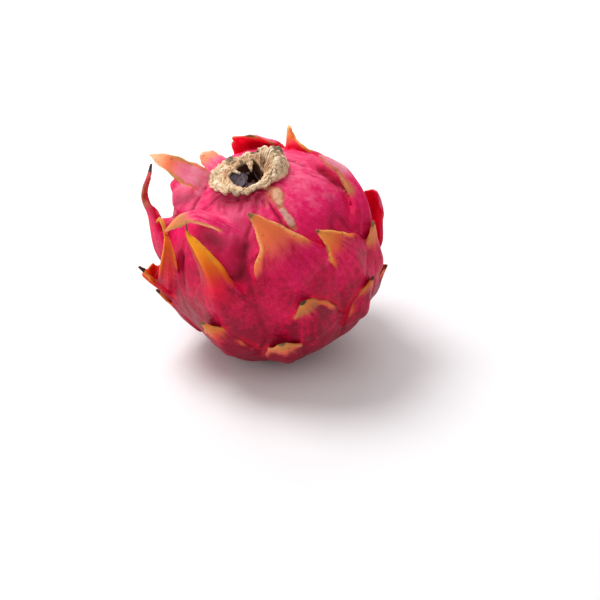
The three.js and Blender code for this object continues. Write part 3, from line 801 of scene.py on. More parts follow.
def finish_rind(sizes, scales, mesh):
    """Wrinkles the rind and stores what its material reads."""
    points, normals = skin_of(sizes, mesh)
    ways = unit(points)
    number, u, v, side, away = nearest_on_scales(sizes, scales, points)
    u, v = np.clip(u, -1, 1), np.clip(v, 0, 1)

    def smooth(values, rounds=2):
        return smooth_values(mesh, values, rounds)

    # How each point lies on its scale, and how the scale's finish shows there.
    on_scale = smooth(smoothstep(1.8, 0.5, away))
    finish = Finish(*(np.array(values)[number] for values in zip(*(scale.finish for scale in scales))))
    body = radius_at(sizes, ways) + swelling(sizes, scales, ways)
    risen = smoothstep(0, 1.8, lengths(points) - body) * on_scale
    tip = smoothstep(finish.warm_from - 0.22, finish.warm_from + 0.3, v)
    width = finish.edge_width
    edge = smoothstep(1 - 1.6 * width, 1 - 0.2 * width, np.abs(u))
    edge *= smoothstep(finish.edge_from - 0.12, finish.edge_from + 0.15, v)
    by_side = np.where(u < 0, *finish.edges.T)
    edge *= np.maximum(by_side, 0)
    dull = np.maximum(-by_side, 0) * smoothstep(0.1, 0.55, np.abs(u)) * smoothstep(1, 0.8, v)
    dull *= smoothstep(finish.edge_from - 0.1, finish.edge_from + 0.1, v) * risen
    warm = np.maximum(tip * finish.glow, edge) * (1 - dull) * risen
    dry = smoothstep(finish.dry_from - 0.03, finish.dry_from + 0.02, v) * on_scale
    share, middle, spread = finish.olive.T
    olive = share * smoothstep(spread, 0.4 * spread, np.abs(v - middle)) * risen
    whole_tip = smoothstep(middle - 0.9 * spread, middle - 0.4 * spread, v) * (middle > 0.8)
    olive *= smoothstep(0.45, 0.9, np.maximum(np.abs(u), whole_tip))
    outer = finish.outside * smoothstep(0.8, 0.4, np.abs(u))
    inside = np.where(side < 0, finish.inside, outer) * smoothstep(0.12, 0.3, v) * on_scale
    # Partly painted light: scales lit through from behind are painted paler.
    pale = np.where(finish.pale < 0, -finish.pale * smoothstep(0.5, 0.72, v), finish.pale)

    # The bare rind round the scar, with painted shade below the collar and in its folds, painted light and
    # shade where it is paler or deeper, and where it is dusty.
    bare = 1 - on_scale
    crease = fold_heights(sizes, ways)[1]
    from_axis = np.hypot(points[:, 0], points[:, 1])
    on_crown = points[:, 2] > 0
    turn = np.arctan2(points[:, 1], points[:, 0])
    # Painted shade in a band below the collar's overhanging edge, strongest on the side that faces the
    # viewer.
    collar_shade_side = smoothstep(0.1, 0.8, np.cos(turn - COLLAR_SHADE_SIDE))
    near_scar = smoothstep(mix(18, 22.5, collar_shade_side), mix(14, 16.5, collar_shade_side), from_axis)
    near_scar *= mix(0.4, 1, collar_shade_side) * on_crown
    collar = smoothstep(30, 15, from_axis) * on_crown
    # Painted light and shade of the paler and deeper places listed above, and their dust.
    bloom, dust = 0, 0
    for longitude, latitude, reach, paler, dusty in PAINTED_LIGHT_SHADE_AND_DUST:
        apart = np.arccos(np.clip(ways @ directions(longitude, latitude), -1, 1))
        share = np.exp(-((np.degrees(apart) / reach) ** 2)) * bare
        bloom, dust = bloom + paler * share, dust + dusty * share

    # Dents, wrinkles that run down from the scar, ribs along the scales and dried patches.
    ring = ways[:, :2] / np.maximum(np.hypot(ways[:, 0], ways[:, 1]), 1e-6)[:, None]
    flow = np.column_stack([ring * 22, np.arcsin(ways[:, 2]) * 4])
    dents = 0.35 * noise_at(points, 15, 3) + 0.14 * noise_at(points, 5, 4)
    wrinkles = (0.12 + 0.2 * collar) * noise_at(flow, 1.7, 7)
    wrinkles += (0.04 + 0.12 * collar) * noise_at(flow, 0.8, 8)
    veins = np.column_stack([u * 5, v * 1.5, number * 3.1])
    ribs = 0.22 * noise_at(veins, 1, 9) * smoothstep(0.1, 0.3, v)
    patch = patch_share(sizes, ways) * bare
    core, core_grey = patch_cores(sizes, ways)
    height = bare * (dents + wrinkles) + on_scale * (0.4 * dents + ribs)
    height += patch * (0.35 * core - 0.25 + 0.25 * noise_at(points, 1.6, 13))
    raise_skin(sizes, mesh, points, normals, height, lowest=0)

    store(
        mesh,
        warm=smooth(warm, 1),
        hue=smooth(finish.hue * on_scale),
        dry=smooth(dry, 1),
        dry_dark=smooth(finish.dry_dark),
        olive=smooth(olive),
        inside=smooth(inside),
        pale=smooth(pale * on_scale),
        thin=smooth(smoothstep(0.25, 0.7, v) * risen),
        dull=smooth(dull, 1),
        rim=smoothstep(0.84, 0.97, np.abs(u)) * smoothstep(0.35, 0.7, v) * risen,
        crease=smooth(crease * bare, 1),
        valley=smooth(valleys(sizes, scales, ways) * bare),
        patch=patch,
        core=core,
        core_grey=core_grey,
        near_scar=near_scar * bare,
        on_scale=on_scale,
        bloom=bloom,
        dust=dust,
        fibrous=smooth(np.maximum(collar, 0.8 * on_scale)),
        grain=np.column_stack([u * 6, v * 2.5, number * 3.7]),
        flow=flow,
    )


def rind_material(colours):
    shader = Shader("dragon_fruit_rind", colours)
    times, add, vary = shader.times, shader.add, shader.vary
    blend, spread = shader.blend, shader.range
    warm, dry, patch, on_scale = (shader.read(name) for name in ("warm", "dry", "patch", "on_scale"))
    fine = shader.noise(900, 4, 0.6)
    mottle = shader.noise(420, 3, 0.6)
    medium = shader.noise(160, 4, 0.55)
    broad = shader.noise(38, 3, 0.5)
    lines, veins = (shader.noise(1, 4, 0.6, along) for along in ("flow", "grain"))
    streaks = shader.node("ShaderNodeMix", {0: on_scale, 2: lines, 3: veins}, data_type="FLOAT")

    # Pink, darker lower down and lighter towards the crown: painted shade and painted light from above.
    up = shader.node("ShaderNodeSeparateXYZ", {"Vector": shader.here}, 2)
    tone = vary(up, 8, 0.06)
    fibres = spread("fibrous", 0, 1, 0.15, 0.75)
    for part, weight in ((broad, 0.5), (medium, 0.45), (mottle, 0.45), (streaks, fibres)):
        tone = add(tone, vary(part, weight))
    # Adds the scales' paleness, partly painted light, and the painted light and shade of the listed places.
    tone = add(add(tone, add(0.4, times("pale", 0.42))), "bloom")
    # The ramp's low end is painted crimson shade and its top end painted glow.
    stops = {"rind_shade": 0.1, "rind_deep": 0.27, "rind_pink": 0.48, "rind_pale": 0.8, "rind_bloom": 1}
    # Painted shade below the scar's collar, with darker painted shade in patches.
    ring = times("near_scar", spread(add(medium, times(mottle, 0.6)), 0.6, 0.95, 1, 0.6))
    skin = shader.paint(
        shader.ramp(times(tone, 0.8), stops),
        (times("dust", spread(medium, 0.35, 0.6, 0.45, 1)), "rind_dusty"),
        (spread(fine, 0.56, 0.72, 0, 0.14), "rind_pale"),
        # Painted shade in the valleys between the scales' bases.
        (times("valley", 0.5), "rind_shade"),
        # Painted shade in the creases of the folds.
        (times("crease", 0.75), "rind_dark"),
        (ring, "rind_shade"),
        (times(ring, spread(mottle, 0.4, 0.65, 0, 0.4)), "rind_dark"),
        (times("inside", 0.9), "inner_red"),
    )

    # Scales turn to flame or peach, with brown, green and frayed margins.
    flame = shader.ramp(warm, {"flame_red": 0, "flame_orange": 0.5, "flame_yellow": 1})
    peach = shader.ramp(warm, {"peach_deep": 0, "peach": 0.6, "peach_pale": 1})
    turned = add(warm, vary(add(medium, veins), 0.35, 1))
    smudge = times(spread(shader.noise(300, 3, 0.6), 0.6, 0.7), spread(warm, 0.2, 0.6))
    frayed = times("rim", spread(add(medium, mottle), 0.95, 1.2))
    skin = shader.paint(
        skin,
        (spread(turned, 0.08, 0.5), blend("hue", flame, peach)),
        (times(smudge, 0.6), "scale_brown"),
        (shader.math("MINIMUM", times("dull", 0.75), 0.9), "scale_brown"),
        (times("olive", spread(medium, 0.3, 0.6)), "olive"),
        (times(frayed, 0.7), "dry_tan"),
    )

    # Dried patches, withered tips and spots.
    dried = add(patch, vary(mottle, 0.5))
    uneven = shader.math("SUBTRACT", add(mottle, medium), 1)
    middle = spread(add("core", times(uneven, 1.2)), 0.25, 1, 0, 0.95)
    parched = shader.paint(
        blend(spread(dried, 0.35, 0.7), "patch_brown", "patch_tan"),
        (middle, blend("core_grey", "patch_pale", "patch_grey")),
        (spread(uneven, 0.05, 0.3, 0, 0.6), "patch_brown"),
    )
    skin = shader.paint(
        skin,
        (spread(add(dried, times(uneven, 0.5)), 0.1, 0.75), parched),
        (spread(add(dry, vary(fine, 0.6)), 0.3, 0.7), blend("dry_dark", "dry_tan", "dry_black")),
        (spread(shader.noise(260, 2, 0.5), 0.74, 0.78, 0, 0.6), "spot"),
    )
    relief = add(times(fine, 0.3), add(times(mottle, 0.45), times(streaks, 0.55)))
    rough = add(spread(medium, 0.3, 0.7, 0.42, 0.56), times(shader.math("MAXIMUM", dry, patch), 0.3))
    return shader.finish(
        bump=(relief, 0.001, 0.6),
        Base_Color=skin,
        Roughness=rough,
        Subsurface_Weight=spread("thin", 0, 1, 0.1, 0.5),
        Subsurface_Radius=(1, 0.45, 0.4),
        Subsurface_Scale=0.004,
        Specular_IOR_Level=0.15,
    )


# ---- Forms turned round the fruit's axis ----
def turned_form(sizes, name, grid, shape):
    """A closed mesh, its points' q and turn, and the points and normals in the fruit's frame.

    It is a ball whose points are moved by shape(sizes, q, turn). q runs from 0 at the upper pole
    to 1 at the lower one, and turn is the angle round the axis.
    """
    bm = bmesh.new()
    bmesh.ops.create_uvsphere(bm, u_segments=grid[0], v_segments=grid[1], radius=1)
    ball = np.array([vert.co for vert in bm.verts])
    q = np.arccos(np.clip(ball[:, 2], -1, 1)) / math.pi
    turn = np.arctan2(ball[:, 1], ball[:, 0])
    move_verts(bm.verts, stand(sizes, shape(sizes, q, turn)))
    bmesh.ops.recalc_face_normals(bm, faces=bm.faces)
    mesh = mesh_of(bm, name)
    return mesh, q, turn, *skin_of(sizes, mesh)


def round_axis(radius, turn, height):
    return np.stack([radius * np.cos(turn), radius * np.sin(turn), height], axis=-1)


# ---- Corky scar ----
# The wall of the hollow turns steep where the collar's height goes from the first of these to
# the second.
STEEP_COLLAR = (47, 49.5)


def around_rim(key, turn):
    """A number of the rim at each angle, smoothed between the places that RIM lists."""
    angles = [place.angle for place in RIM]
    values = [getattr(place, key) for place in RIM]
    nearby = [np.degrees(turn) + step for step in (-9, -4.5, 0, 4.5, 9)]
    return sum(np.interp(at, angles, values, period=360) for at in nearby) / len(nearby)


def rind_height(sizes, radius):
    """Height of the plain rind at a distance from the blossom axis."""
    share = np.clip(radius / sizes.equator_radius, 0, 0.99) ** sizes.squareness
    return sizes.crown_height * (1 - share) ** (1 / sizes.squareness)


def scar_points(sizes, q, turn):
    """The collar: five equal parts of q run over the hollow, up to the crest, out to the edge,
    down below it and back to the axis underneath."""
    a, b, c, d, e = (np.clip(5 * q - k, 0, 1) for k in range(5))
    hollow, crest = around_rim("hollow", turn), around_rim("crest", turn)
    edge, top = around_rim("edge", turn), around_rim("height", turn)
    ragged = round_axis(1, turn, 0 * turn)
    edge = edge + sizes.scar_ragged * fractal_at(ragged * 16, 5, 3, 11)
    hollow = hollow + 0.5 * noise_at(ragged * 9, 3, 12)
    base = rind_height(sizes, edge)
    floor = sizes.crown_height - sizes.hollow_depth
    steep = smoothstep(*STEEP_COLLAR, top)
    lip = mix(top - 0.5, 43, steep)
    radius = hollow * a + (crest - hollow) * b + (edge - crest) * c - 1.6 * d
    height = mix(floor, lip, smoothstep(0.45, 1, a))
    height = height + (top - lip) * mix(b**0.6, np.sin(b * math.pi / 2), steep)
    height = height - (top - base - 1.5) * mix(c**2.2, c**1.4, steep) - 3.5 * d
    return round_axis(radius * (1 - e), turn, mix(height, floor - 3, smoothstep(0, 1, e)))


def creases_at(points, size, seed):
    """0 in the creases between crumpled folds of the given size, up to about 1 on top of them."""
    shift = np.column_stack([noise_at(points, size, seed + k) for k in range(3)])
    return 2 * np.abs(noise_at(points + 0.5 * size * shift, size, seed + 5))


def scar_piece(sizes, colours):
    mesh, q, turn, points, normals = turned_form(sizes, "corky_scar", SCAR_GRID, scar_points)
    q = 5 * q
    level = points * (1, 1, 0)
    collar = smoothstep(0.8, 1.1, q) * smoothstep(3.6, 3, q)
    wall = collar * smoothstep(2.1, 1.8, q) * smoothstep(*STEEP_COLLAR, around_rim("height", turn))
    grey, lumps = np.zeros(len(points)), np.zeros(len(points))
    for angle, distance, size, height, share in LUMPS:
        middle = round_axis(distance, math.radians(angle), 0)
        away = lengths(level - middle) / size
        lumps += height * np.exp(-(away**2))
        grey = np.maximum(grey, share * smoothstep(1.25, 0.7, away))
    broad, small, tiny = (creases_at(points, size, 20 * size) for size in (3.4, 1.5, 0.7))
    rough = 0.9 * (broad - 0.4) + 0.5 * (small - 0.4) + 0.3 * (tiny - 0.4)
    rough *= smoothstep(3.4, 2.6, q)
    pleats = creases_at(np.column_stack([9 * turn, 0.6 * q, 0 * q]), 1.3, 23)
    height = collar * (rough * (1 - 0.7 * wall) + lumps) + wall * (pleats - 0.4)
    # Painted shade: the seams of the crumples, the wall's pleats and the cracks are painted brown.
    seams = np.maximum(smoothstep(0.22, 0.03, broad), 0.7 * smoothstep(0.16, 0.01, small))
    seams = mix(seams, smoothstep(0.3, 0.05, pleats), wall)
    stray = 0.25 * noise_at(points, 1.1, 31)[:, None]
    for places, depth, half in CRACKS:
        path = np.array([round_axis(distance, math.radians(angle), 0) for angle, distance in places])
        away = distance_to_path(level + half * stray, path)[0] / half
        height -= depth * np.exp(-(away**2)) * collar
        seams = np.maximum(seams, smoothstep(1.4, 0.5, away))
    inner = smoothstep(0.3, 0.9, q) * smoothstep(1.1, 0.9, q)
    height += inner * 0.3 * fractal_at(points, 2.5, 2, 25)
    raise_skin(sizes, mesh, points, normals, height)
    store(
        mesh,
        wall=wall,
        # Painted shade down in the hollow.
        deep=smoothstep(1.02, 0.72, q),
        grey=grey,
        seam=seams * collar,
        # Painted highlight on the tops of the crumples.
        peak=smoothstep(-0.4, 1.2, rough) * collar,
        tint=smoothstep(1.7, 1.1, q) * collar,
        streak=np.column_stack([7 * turn, 0.6 * q, 0 * q]),
    )
    return new_piece("corky_scar", mesh, scar_material(colours))


def scar_material(colours):
    shader = Shader("dragon_fruit_cork", colours)
    times, spread = shader.times, shader.range
    fine, medium = shader.noise(1100, 5, 0.65), shader.noise(330, 4, 0.6)
    streaks = shader.noise(2.2, 5, 0.65, "streak")
    # Painted highlight: cream on the tops of the crumpled cork, tan lower down between them.
    peaks = shader.add(medium, times("peak", 0.5))
    cork = shader.paint(
        shader.blend(spread(peaks, 0.5, 0.95), "cork_tan", "cork_cream"),
        (times("tint", spread(medium, 0.35, 0.6, 0, 0.6)), "cork_orange"),
        (times("wall", spread(streaks, 0.45, 0.64)), "cork_brown"),
        (spread(shader.noise(620, 3, 0.6), 0.6, 0.7, 0, 0.55), "cork_grey"),
        # Painted shade in the seams and cracks.
        (times("seam", spread(medium, 0.35, 0.6, 0.24, 0.8)), "cork_brown"),
        (times("grey", spread(fine, 0.3, 0.55, 0.35, 1)), "cork_grey"),
        # Painted shade inside the hollow.
        (spread("deep", 0.1, 0.6), "hollow_shade"),
    )
    relief = shader.add(times(fine, 0.6), medium)
    return shader.finish((relief, 0.0007, 0.7), Base_Color=cork, Roughness=0.88, Specular_IOR_Level=0.2)


# ---- Withered flower ----
def flower_piece(sizes, colours):
    """Dry curled flakes of the flower, and the corky tabs that stand between them."""
    bm = bmesh.new()
    slate, cork = [], []
    for number, flake in enumerate(FLAKES):
        count = add_slab(bm, FLAKE_GRID, lambda flat: stand(sizes, flake_points(flake, number, flat)))
        slate += [flake.slate] * count
        cork += [flake.cork] * count
    mesh = mesh_of(bm, "withered_flower")
    store(mesh, slate=np.array(slate, float), cork=np.array(cork, float))
    return new_piece("withered_flower", mesh, flower_material(colours))


def flake_points(flake, number, flat):
    a, b, w = flat[:, 0], flat[:, 1], flat[:, 2] - 0.5
    turn = Matrix.Identity(3)
    for angle, axis in ((flake.heading, "Z"), (-flake.pitch, "Y"), (flake.roll, "X")):
        turn = turn @ Matrix.Rotation(math.radians(angle), 3, axis)
    rough = np.column_stack([a, b, 0 * a + number])
    torn = 1 + mix(0.2, 0.55, flake.cork) * fractal_at(rough * 2, 1.0, 3, 31 + number)
    narrowing = np.sqrt(np.clip(1 - 0.93 * np.abs(b) ** 3, 0.02, 1))
    narrowing = narrowing * (1 - 0.5 * flake.narrows * (b + 1))
    along = flake.length * b * (1 + 0.12 * noise_at(rough * 2, 0.9, 41))
    across = flake.width * a * narrowing * torn
    bend = flake.curl * (a * a * narrowing - 0.4) * flake.width + flake.arch * b * b * flake.length
    creased = 0.3 * noise_at(rough * 3, 1.0, 51) + 0.25 * np.abs(noise_at(rough * 2.2, 1.0, 61))
    creased += flake.cork * 0.9 * (creases_at(rough * 3.5, 1.3, 63 + number) - 0.4)
    thick = flake.thickness * (1 - 0.6 * a * a)
    local = np.column_stack([along, across, bend + creased + thick * w])
    return local @ np.array(turn.transposed()) + flake.middle


def flower_material(colours):
    shader = Shader("dragon_fruit_withered_flower", colours)
    blend, spread = shader.blend, shader.range
    fine, medium = shader.noise(1300, 4, 0.6), shader.noise(380, 4, 0.6)
    brown = blend(spread(medium, 0.35, 0.65), "flower_black", "flower_brown")
    slate = blend(spread(medium, 0.4, 0.68), "flower_slate", "flower_grey")
    cork = blend(spread(fine, 0.3, 0.7), "cork_tan", "cork_cream")
    cork = blend(spread(medium, 0.5, 0.7, 0, 0.7), cork, "cork_orange")
    skin = shader.paint(brown, ("slate", slate), ("cork", cork))
    relief = shader.add(shader.times(fine, 0.5), medium)
    rough = spread(medium, 0.3, 0.7, 0.5, 0.75)
    return shader.finish((relief, 0.0005, 0.6), Base_Color=skin, Roughness=rough)


# ---- Stem stub ----
def stem_points(sizes, q, turn):
    """The stub below the stem dimple: q is 0 to 0.3 hidden, to 0.6 down its side, to 1 the cut."""
    ribs = 1 + 0.07 * np.cos(3 * turn + 0.4) + 0.025 * np.sin(11 * turn)
    top = -sizes.stem_depth + sizes.dimple_depth + 3
    a, b, c = (np.clip((q - start) / size, 0, 1) for start, size in ((0, 0.3), (0.3, 0.3), (0.6, 0.4)))
    flare = sizes.stem_radius * (1.3 - 0.3 * smoothstep(0, 0.8, b))
    height = mix(top, top - sizes.stem_length, b)
    height = height - 0.5 * np.sin(c * math.pi) * (1 - c) + 0.6 * smoothstep(0.2, 1, c)
    return round_axis(flare * ribs * a * (1 - c), turn, height)


def stem_piece(sizes, colours):
    mesh, q, turn, points, normals = turned_form(sizes, "stem_stub", STEM_GRID, stem_points)
    cut = smoothstep(0.6, 0.64, q)
    fibres = points * (2.2, 2.2, 0.3)
    height = 0.22 * noise_at(fibres, 1.6, 71) + 0.1 * fractal_at(points, 0.9, 2, 73) * cut
    raise_skin(sizes, mesh, points, normals, height, lowest=0.1 * MM)
    store(mesh, cut=cut, bark=round_axis(6, turn, q))
    return new_piece("stem_stub", mesh, stem_material(colours))


def stem_material(colours):
    shader = Shader("dragon_fruit_stem", colours)
    fine, streaks = shader.noise(900, 4, 0.6), shader.noise(2.5, 4, 0.6, "bark")
    bark = shader.blend(shader.range(streaks, 0.35, 0.65), "stem_green", "stem_brown")
    wood = shader.blend(shader.range(fine, 0.35, 0.65), "stem_brown", "cork_cream")
    skin = shader.blend("cut", bark, wood)
    return shader.finish((shader.add(fine, streaks), 0.0005, 0.6), Base_Color=skin, Roughness=0.8)


# ---- Stage ----
# Soft round lights: name, place and width, in metres.
LIGHTS = [
    ("key", (-0.55, 0.35, 1.15), 0.7),
    ("back", (-0.25, 1.25, 0.85), 1.3),
    ("side", (-1.25, -0.4, 0.3), 0.8),
]
# The camera's lens and sensor are in millimetres, its place and how near and far it sees in
# metres, and it is tilted up from looking straight down.
SENSOR_WIDTH = 36
CAMERA_LENS = 119.88
CAMERA_PLACE = (0.013063, -0.790234, 0.477876)
CAMERA_TILT = math.radians(60)
CAMERA_REACH = (0.01, 20)


def floor_material(colours):
    shader = Shader("studio_floor", colours)
    cloud = shader.range(shader.noise(6, 3, 0.5), 0.2, 0.8)
    tone = shader.blend(cloud, "floor_shade", "floor")
    return shader.finish(Base_Color=tone, Roughness=0.9, Specular_IOR_Level=0.1)


def build_stage(sizes, colours):
    scene = bpy.context.scene
    scene.view_settings.view_transform = "Standard"
    bm = bmesh.new()
    bmesh.ops.create_grid(bm, x_segments=2, y_segments=2, size=sizes.floor_half * MM)
    floor = new_piece("floor", mesh_of(bm, "floor"), floor_material(colours))

    scene.world = bpy.data.worlds.new("studio")
    scene.world.use_nodes = True
    background = scene.world.node_tree.nodes["Background"]
    background.inputs["Color"].default_value = (*colours.sky, 1)
    background.inputs["Strength"].default_value = sizes.sky_strength

    middle = Vector((0, 0, sizes.rest_height * MM))
    for name, where, width in LIGHTS:
        light = bpy.data.lights.new(name, "AREA")
        light.shape = "DISK"
        light.size = width
        light.energy = getattr(sizes, name + "_power")
        lamp = bpy.data.objects.new(name, light)
        lamp.location = where
        lamp.rotation_euler = (middle - lamp.location).to_track_quat("-Z", "Y").to_euler()
        scene.collection.objects.link(lamp)

    view = bpy.data.cameras.new("camera")
    view.sensor_width = SENSOR_WIDTH
    view.lens = CAMERA_LENS
    view.clip_start, view.clip_end = CAMERA_REACH
    camera = bpy.data.objects.new("camera", view)
    camera.location = CAMERA_PLACE
    camera.rotation_euler = (CAMERA_TILT, 0, 0)
    scene.collection.objects.link(camera)
    scene.camera = camera


# ---- Settings ----
def number(name, description, default, **more):
    return FloatProperty(name=name, description=description, default=default, **more)


def length(name, description, default):
    return number(name, description, default * MM, unit="LENGTH", min=0)


def colour(name, description, red, green, blue):
    default = linear(red, green, blue)
    return FloatVectorProperty(
        name=name, description=description, default=default, subtype="COLOR", size=3, min=0, max=1
    )


def power(name, description, default):
    return number(name, description, default, subtype="POWER", min=0)


class DragonFruitSizes(bpy.types.PropertyGroup):
    equator_radius: length("Equator radius", "Radius of the body at its widest, without scales", 46.5)
    crown_height: length("Crown height", "From the body's middle to its blossom end", 44.5)
    stem_depth: length("Stem depth", "From the body's middle to its stem end", 47)
    rest_height: length("Rest height", "Height of the body's middle above the floor", 46.4)
    squareness: number(
        "Squareness", "How full the body's shoulders are; 2 is an ellipse", 2.25, min=1.5, max=4
    )
    root_thickness: length("Root thickness", "Thickness of a scale where it leaves the rind", 6)
    tip_thickness: length("Tip thickness", "Thickness of a scale at its tip", 1.1)
    least_margin: length("Least margin", "Least thickness of a scale at its margins", 0.8)
    root_sink: length("Root sink", "How far a scale's margins dive into the rind at its root", 5)
    margin_ruffle: length("Margin ruffle", "How far the margins of a scale wave in and out", 0.7)
    margin_wave: number(
        "Margin wave", "How unevenly wide a scale is", 0.05, min=0, max=0.3, subtype="FACTOR"
    )
    swell_height: length("Swelling height", "How far the rind swells below a scale", 2.6)
    swell_step: length("Swelling step", "Spacing of the swellings below a scale", 8)
    valley_depth: length("Valley depth", "Depth of the rind's valleys between scales", 0.8)
    pit_depth: length("Pit depth", "Depth of the rind's pit below the scar", 14)
    pit_radius: length("Pit radius", "Radius of the rind's pit below the scar", 11.5)
    dimple_depth: length("Stem dimple depth", "Depth of the dimple round the stem", 6)
    dimple_radius: length("Stem dimple radius", "Radius of the dimple round the stem", 10)
    grain: length("Grain", "Size of the cells that join the scales to the rind", 0.45)
    hollow_depth: length("Hollow depth", "Depth of the hollow in the scar", 8)
    scar_ragged: length("Ragged edge", "How ragged the outline of the scar is", 1.9)
    stem_radius: length("Stem radius", "Radius of the cut stem", 4.4)
    stem_length: length("Stem length", "Length of the cut stem", 7)
    floor_half: length("Floor half width", "Half the width of the studio floor", 3000)
    sky_strength: number("Sky strength", "Brightness of the studio all round", 0.55, min=0)
    key_power: power("Key light power", "Power of the soft light above, behind on the left", 12)
    back_power: power("Back light power", "Power of the wide soft light behind", 7)
    side_power: power("Side light power", "Power of the soft light on the left", 3.5)


class DragonFruitColours(bpy.types.PropertyGroup):
    rind_pink: colour("Rind pink", "Lighter colour of the rind", 230, 22, 98)
    rind_deep: colour("Rind magenta", "Deeper colour of the rind", 200, 4, 66)
    # Partly painted light: through the tone ramp it paints the crown and thin scales paler, as if lit from
    # above and through; the flecks are the rind's own.
    rind_pale: colour("Rind pale", "Pale bloom and flecks of the rind", 255, 120, 156)
    # Painted light: the palest parts of thin scales, where they are lit through from behind.
    rind_bloom: colour("Rind bloom", "Palest parts of the scales", 255, 158, 180)
    rind_dusty: colour("Rind dusty pink", "Dull parts of the rind near the scar", 204, 88, 120)
    # Painted shade: the lowest tones, the valleys between scales and the band under the scar's collar.
    rind_shade: colour("Rind crimson", "Lower parts and valleys of the rind", 140, 6, 42)
    # Painted shade in the rind's creases and under the scar's collar.
    rind_dark: colour("Rind dark", "Creases of the rind", 104, 6, 26)
    inner_red: colour("Inner red", "Inner face of the scales", 242, 8, 52)
    flame_red: colour("Flame red", "Where pink turns to orange", 200, 34, 30)
    flame_orange: colour("Flame orange", "Middle of a flame-coloured scale", 224, 88, 18)
    flame_yellow: colour("Flame yellow", "End of a flame-coloured scale", 250, 160, 24)
    peach_deep: colour("Deep peach", "Where pink turns to peach", 240, 104, 110)
    peach: colour("Peach", "Middle of a peach-coloured scale", 244, 136, 94)
    peach_pale: colour("Pale peach", "End of a peach-coloured scale", 253, 190, 140)
    scale_brown: colour("Scale brown", "Dull brown parts of the scales", 146, 48, 36)
    olive: colour("Olive", "Green margins and tips of the scales", 172, 140, 66)
    dry_tan: colour("Dry tan", "Withered tips that are light", 138, 112, 70)
    dry_black: colour("Dry black", "Withered tips that are dark", 44, 34, 30)
    patch_brown: colour("Patch brown", "Edges of the dried patch", 196, 88, 68)
    patch_tan: colour("Patch tan", "Dried patch between its middles", 190, 110, 84)
    patch_pale: colour("Patch pale", "Light middle of the dried patch", 220, 176, 142)
    patch_grey: colour("Patch grey", "Grey middle of the dried patch", 216, 162, 152)
    spot: colour("Spots", "Small dark spots on the rind", 120, 30, 36)
    # Cork cream goes on the tops of the scar's crumples and cork tan between them: painted highlight and
    # shade, over the cork's own colours.
    cork_cream: colour("Cork cream", "Light parts of the scar", 249, 229, 198)
    cork_tan: colour("Cork tan", "Darker parts of the scar", 238, 206, 167)
    cork_orange: colour("Cork orange", "Warm parts of the scar near its hollow", 232, 160, 112)
    # Also painted shade in the scar's seams and cracks, besides brown streaks on its wall.
    cork_brown: colour("Cork brown", "Cracks of the scar", 112, 74, 46)
    cork_grey: colour("Cork grey", "Grey-green mouldy parts of the scar", 114, 102, 80)
    # Painted shade: dark brown inside the scar's hollow.
    hollow_shade: colour("Hollow brown", "Inside the hollow of the scar", 66, 36, 26)
    flower_slate: colour("Flower slate", "Blue-grey flakes of the withered flower", 48, 36, 46)
    flower_grey: colour("Flower grey", "Light edges of the grey flakes", 88, 66, 80)
    flower_brown: colour("Flower brown", "Brown flakes of the withered flower", 104, 60, 42)
    flower_black: colour("Flower black", "Darkest flakes of the withered flower", 46, 24, 22)
    stem_green: colour("Stem green", "Skin of the cut stem", 108, 108, 62)
    stem_brown: colour("Stem brown", "Dry parts of the cut stem", 146, 112, 74)
    floor: colour("Floor", "Studio floor", 246, 246, 247)
    floor_shade: colour("Floor shade", "Slightly darker parts of the studio floor", 243, 242, 244)
    sky: colour("Sky", "Light of the studio all round", 255, 253, 252)


def in_millimetres(group):
    """The group's settings as plain values, with its lengths in millimetres."""
    values = SimpleNamespace()
    for key in group.__annotations__:
        kind, value = group.bl_rna.properties[key], getattr(group, key)
        value = tuple(value) if kind.subtype == "COLOR" else value
        setattr(values, key, value / MM if kind.unit == "LENGTH" else value)
    return values


def settings():
    scene = bpy.context.scene
    return in_millimetres(scene.dragon_fruit_sizes), in_millimetres(scene.dragon_fruit_colours)


# ---- Operators ----
def finish_piece(piece, *stands_for):
    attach(piece, BODY)
    if stands_for:
        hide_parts(*stands_for)


class DRAGONFRUIT_OT_rind(bpy.types.Operator):
    """Adds the rind with all its scales"""

    bl_idname = "dragon_fruit.rind"
    bl_label = "Rind and Scales"

    def execute(self, context):
        sizes, colours = settings()
        scales = all_scales(sizes)
        mesh = rind_mesh(sizes, scales)
        finish_rind(sizes, scales, mesh)
        finish_piece(new_piece("rind_with_scales", mesh, rind_material(colours)), NODE)
        return {"FINISHED"}


class DRAGONFRUIT_OT_scar(bpy.types.Operator):
    """Adds the corky scar that the flower left"""

    bl_idname = "dragon_fruit.scar"
    bl_label = "Corky Scar"

    def execute(self, context):
        finish_piece(scar_piece(*settings()))
        return {"FINISHED"}


class DRAGONFRUIT_OT_flower(bpy.types.Operator):
    """Adds the withered flower in the scar's hollow"""

    bl_idname = "dragon_fruit.flower"
    bl_label = "Withered Flower"

    def execute(self, context):
        finish_piece(flower_piece(*settings()))
        return {"FINISHED"}


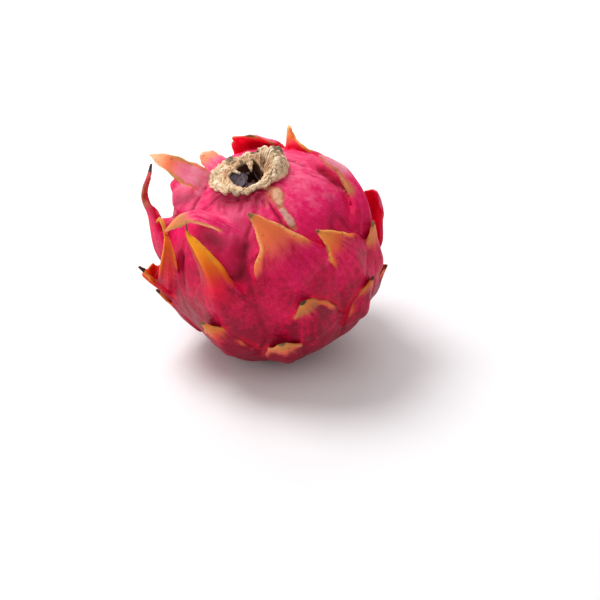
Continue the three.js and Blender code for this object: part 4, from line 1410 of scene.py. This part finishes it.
class DRAGONFRUIT_OT_stem(bpy.types.Operator):
    """Adds the stub of the cut stem"""

    bl_idname = "dragon_fruit.stem"
    bl_label = "Stem Stub"

    def execute(self, context):
        finish_piece(stem_piece(*settings()))
        return {"FINISHED"}


class DRAGONFRUIT_OT_stage(bpy.types.Operator):
    """Adds the floor, the lights and the camera"""

    bl_idname = "dragon_fruit.stage"
    bl_label = "Stage"

    def execute(self, context):
        build_stage(*settings())
        return {"FINISHED"}


class DRAGONFRUIT_PT_panel(bpy.types.Panel):
    """Lists the pieces of the dragon fruit and their settings"""

    bl_label = "Dragon Fruit"
    bl_idname = "DRAGONFRUIT_PT_panel"
    bl_space_type = "VIEW_3D"
    bl_region_type = "UI"
    bl_category = "Dragon Fruit"

    def draw(self, context):
        for operator in OPERATORS:
            self.layout.operator(operator.bl_idname)
        for title, group in (
            ("Sizes", context.scene.dragon_fruit_sizes),
            ("Colours", context.scene.dragon_fruit_colours),
        ):
            box = self.layout.box()
            box.label(text=title)
            for key in group.__annotations__:
                box.prop(group, key)


OPERATORS = (
    DRAGONFRUIT_OT_stage,
    DRAGONFRUIT_OT_rind,
    DRAGONFRUIT_OT_scar,
    DRAGONFRUIT_OT_flower,
    DRAGONFRUIT_OT_stem,
)
CLASSES = (DragonFruitSizes, DragonFruitColours, *OPERATORS, DRAGONFRUIT_PT_panel)


def register():
    for cls in CLASSES:
        bpy.utils.register_class(cls)
    bpy.types.Scene.dragon_fruit_sizes = PointerProperty(type=DragonFruitSizes)
    bpy.types.Scene.dragon_fruit_colours = PointerProperty(type=DragonFruitColours)


def unregister():
    del bpy.types.Scene.dragon_fruit_colours
    del bpy.types.Scene.dragon_fruit_sizes
    for cls in reversed(CLASSES):
        bpy.utils.unregister_class(cls)


def main():
    register()
    bpy.ops.dragon_fruit.stage()
    bpy.ops.dragon_fruit.rind()
    bpy.ops.dragon_fruit.scar()
    bpy.ops.dragon_fruit.flower()
    bpy.ops.dragon_fruit.stem()


if __name__ == "__main__":
    main()
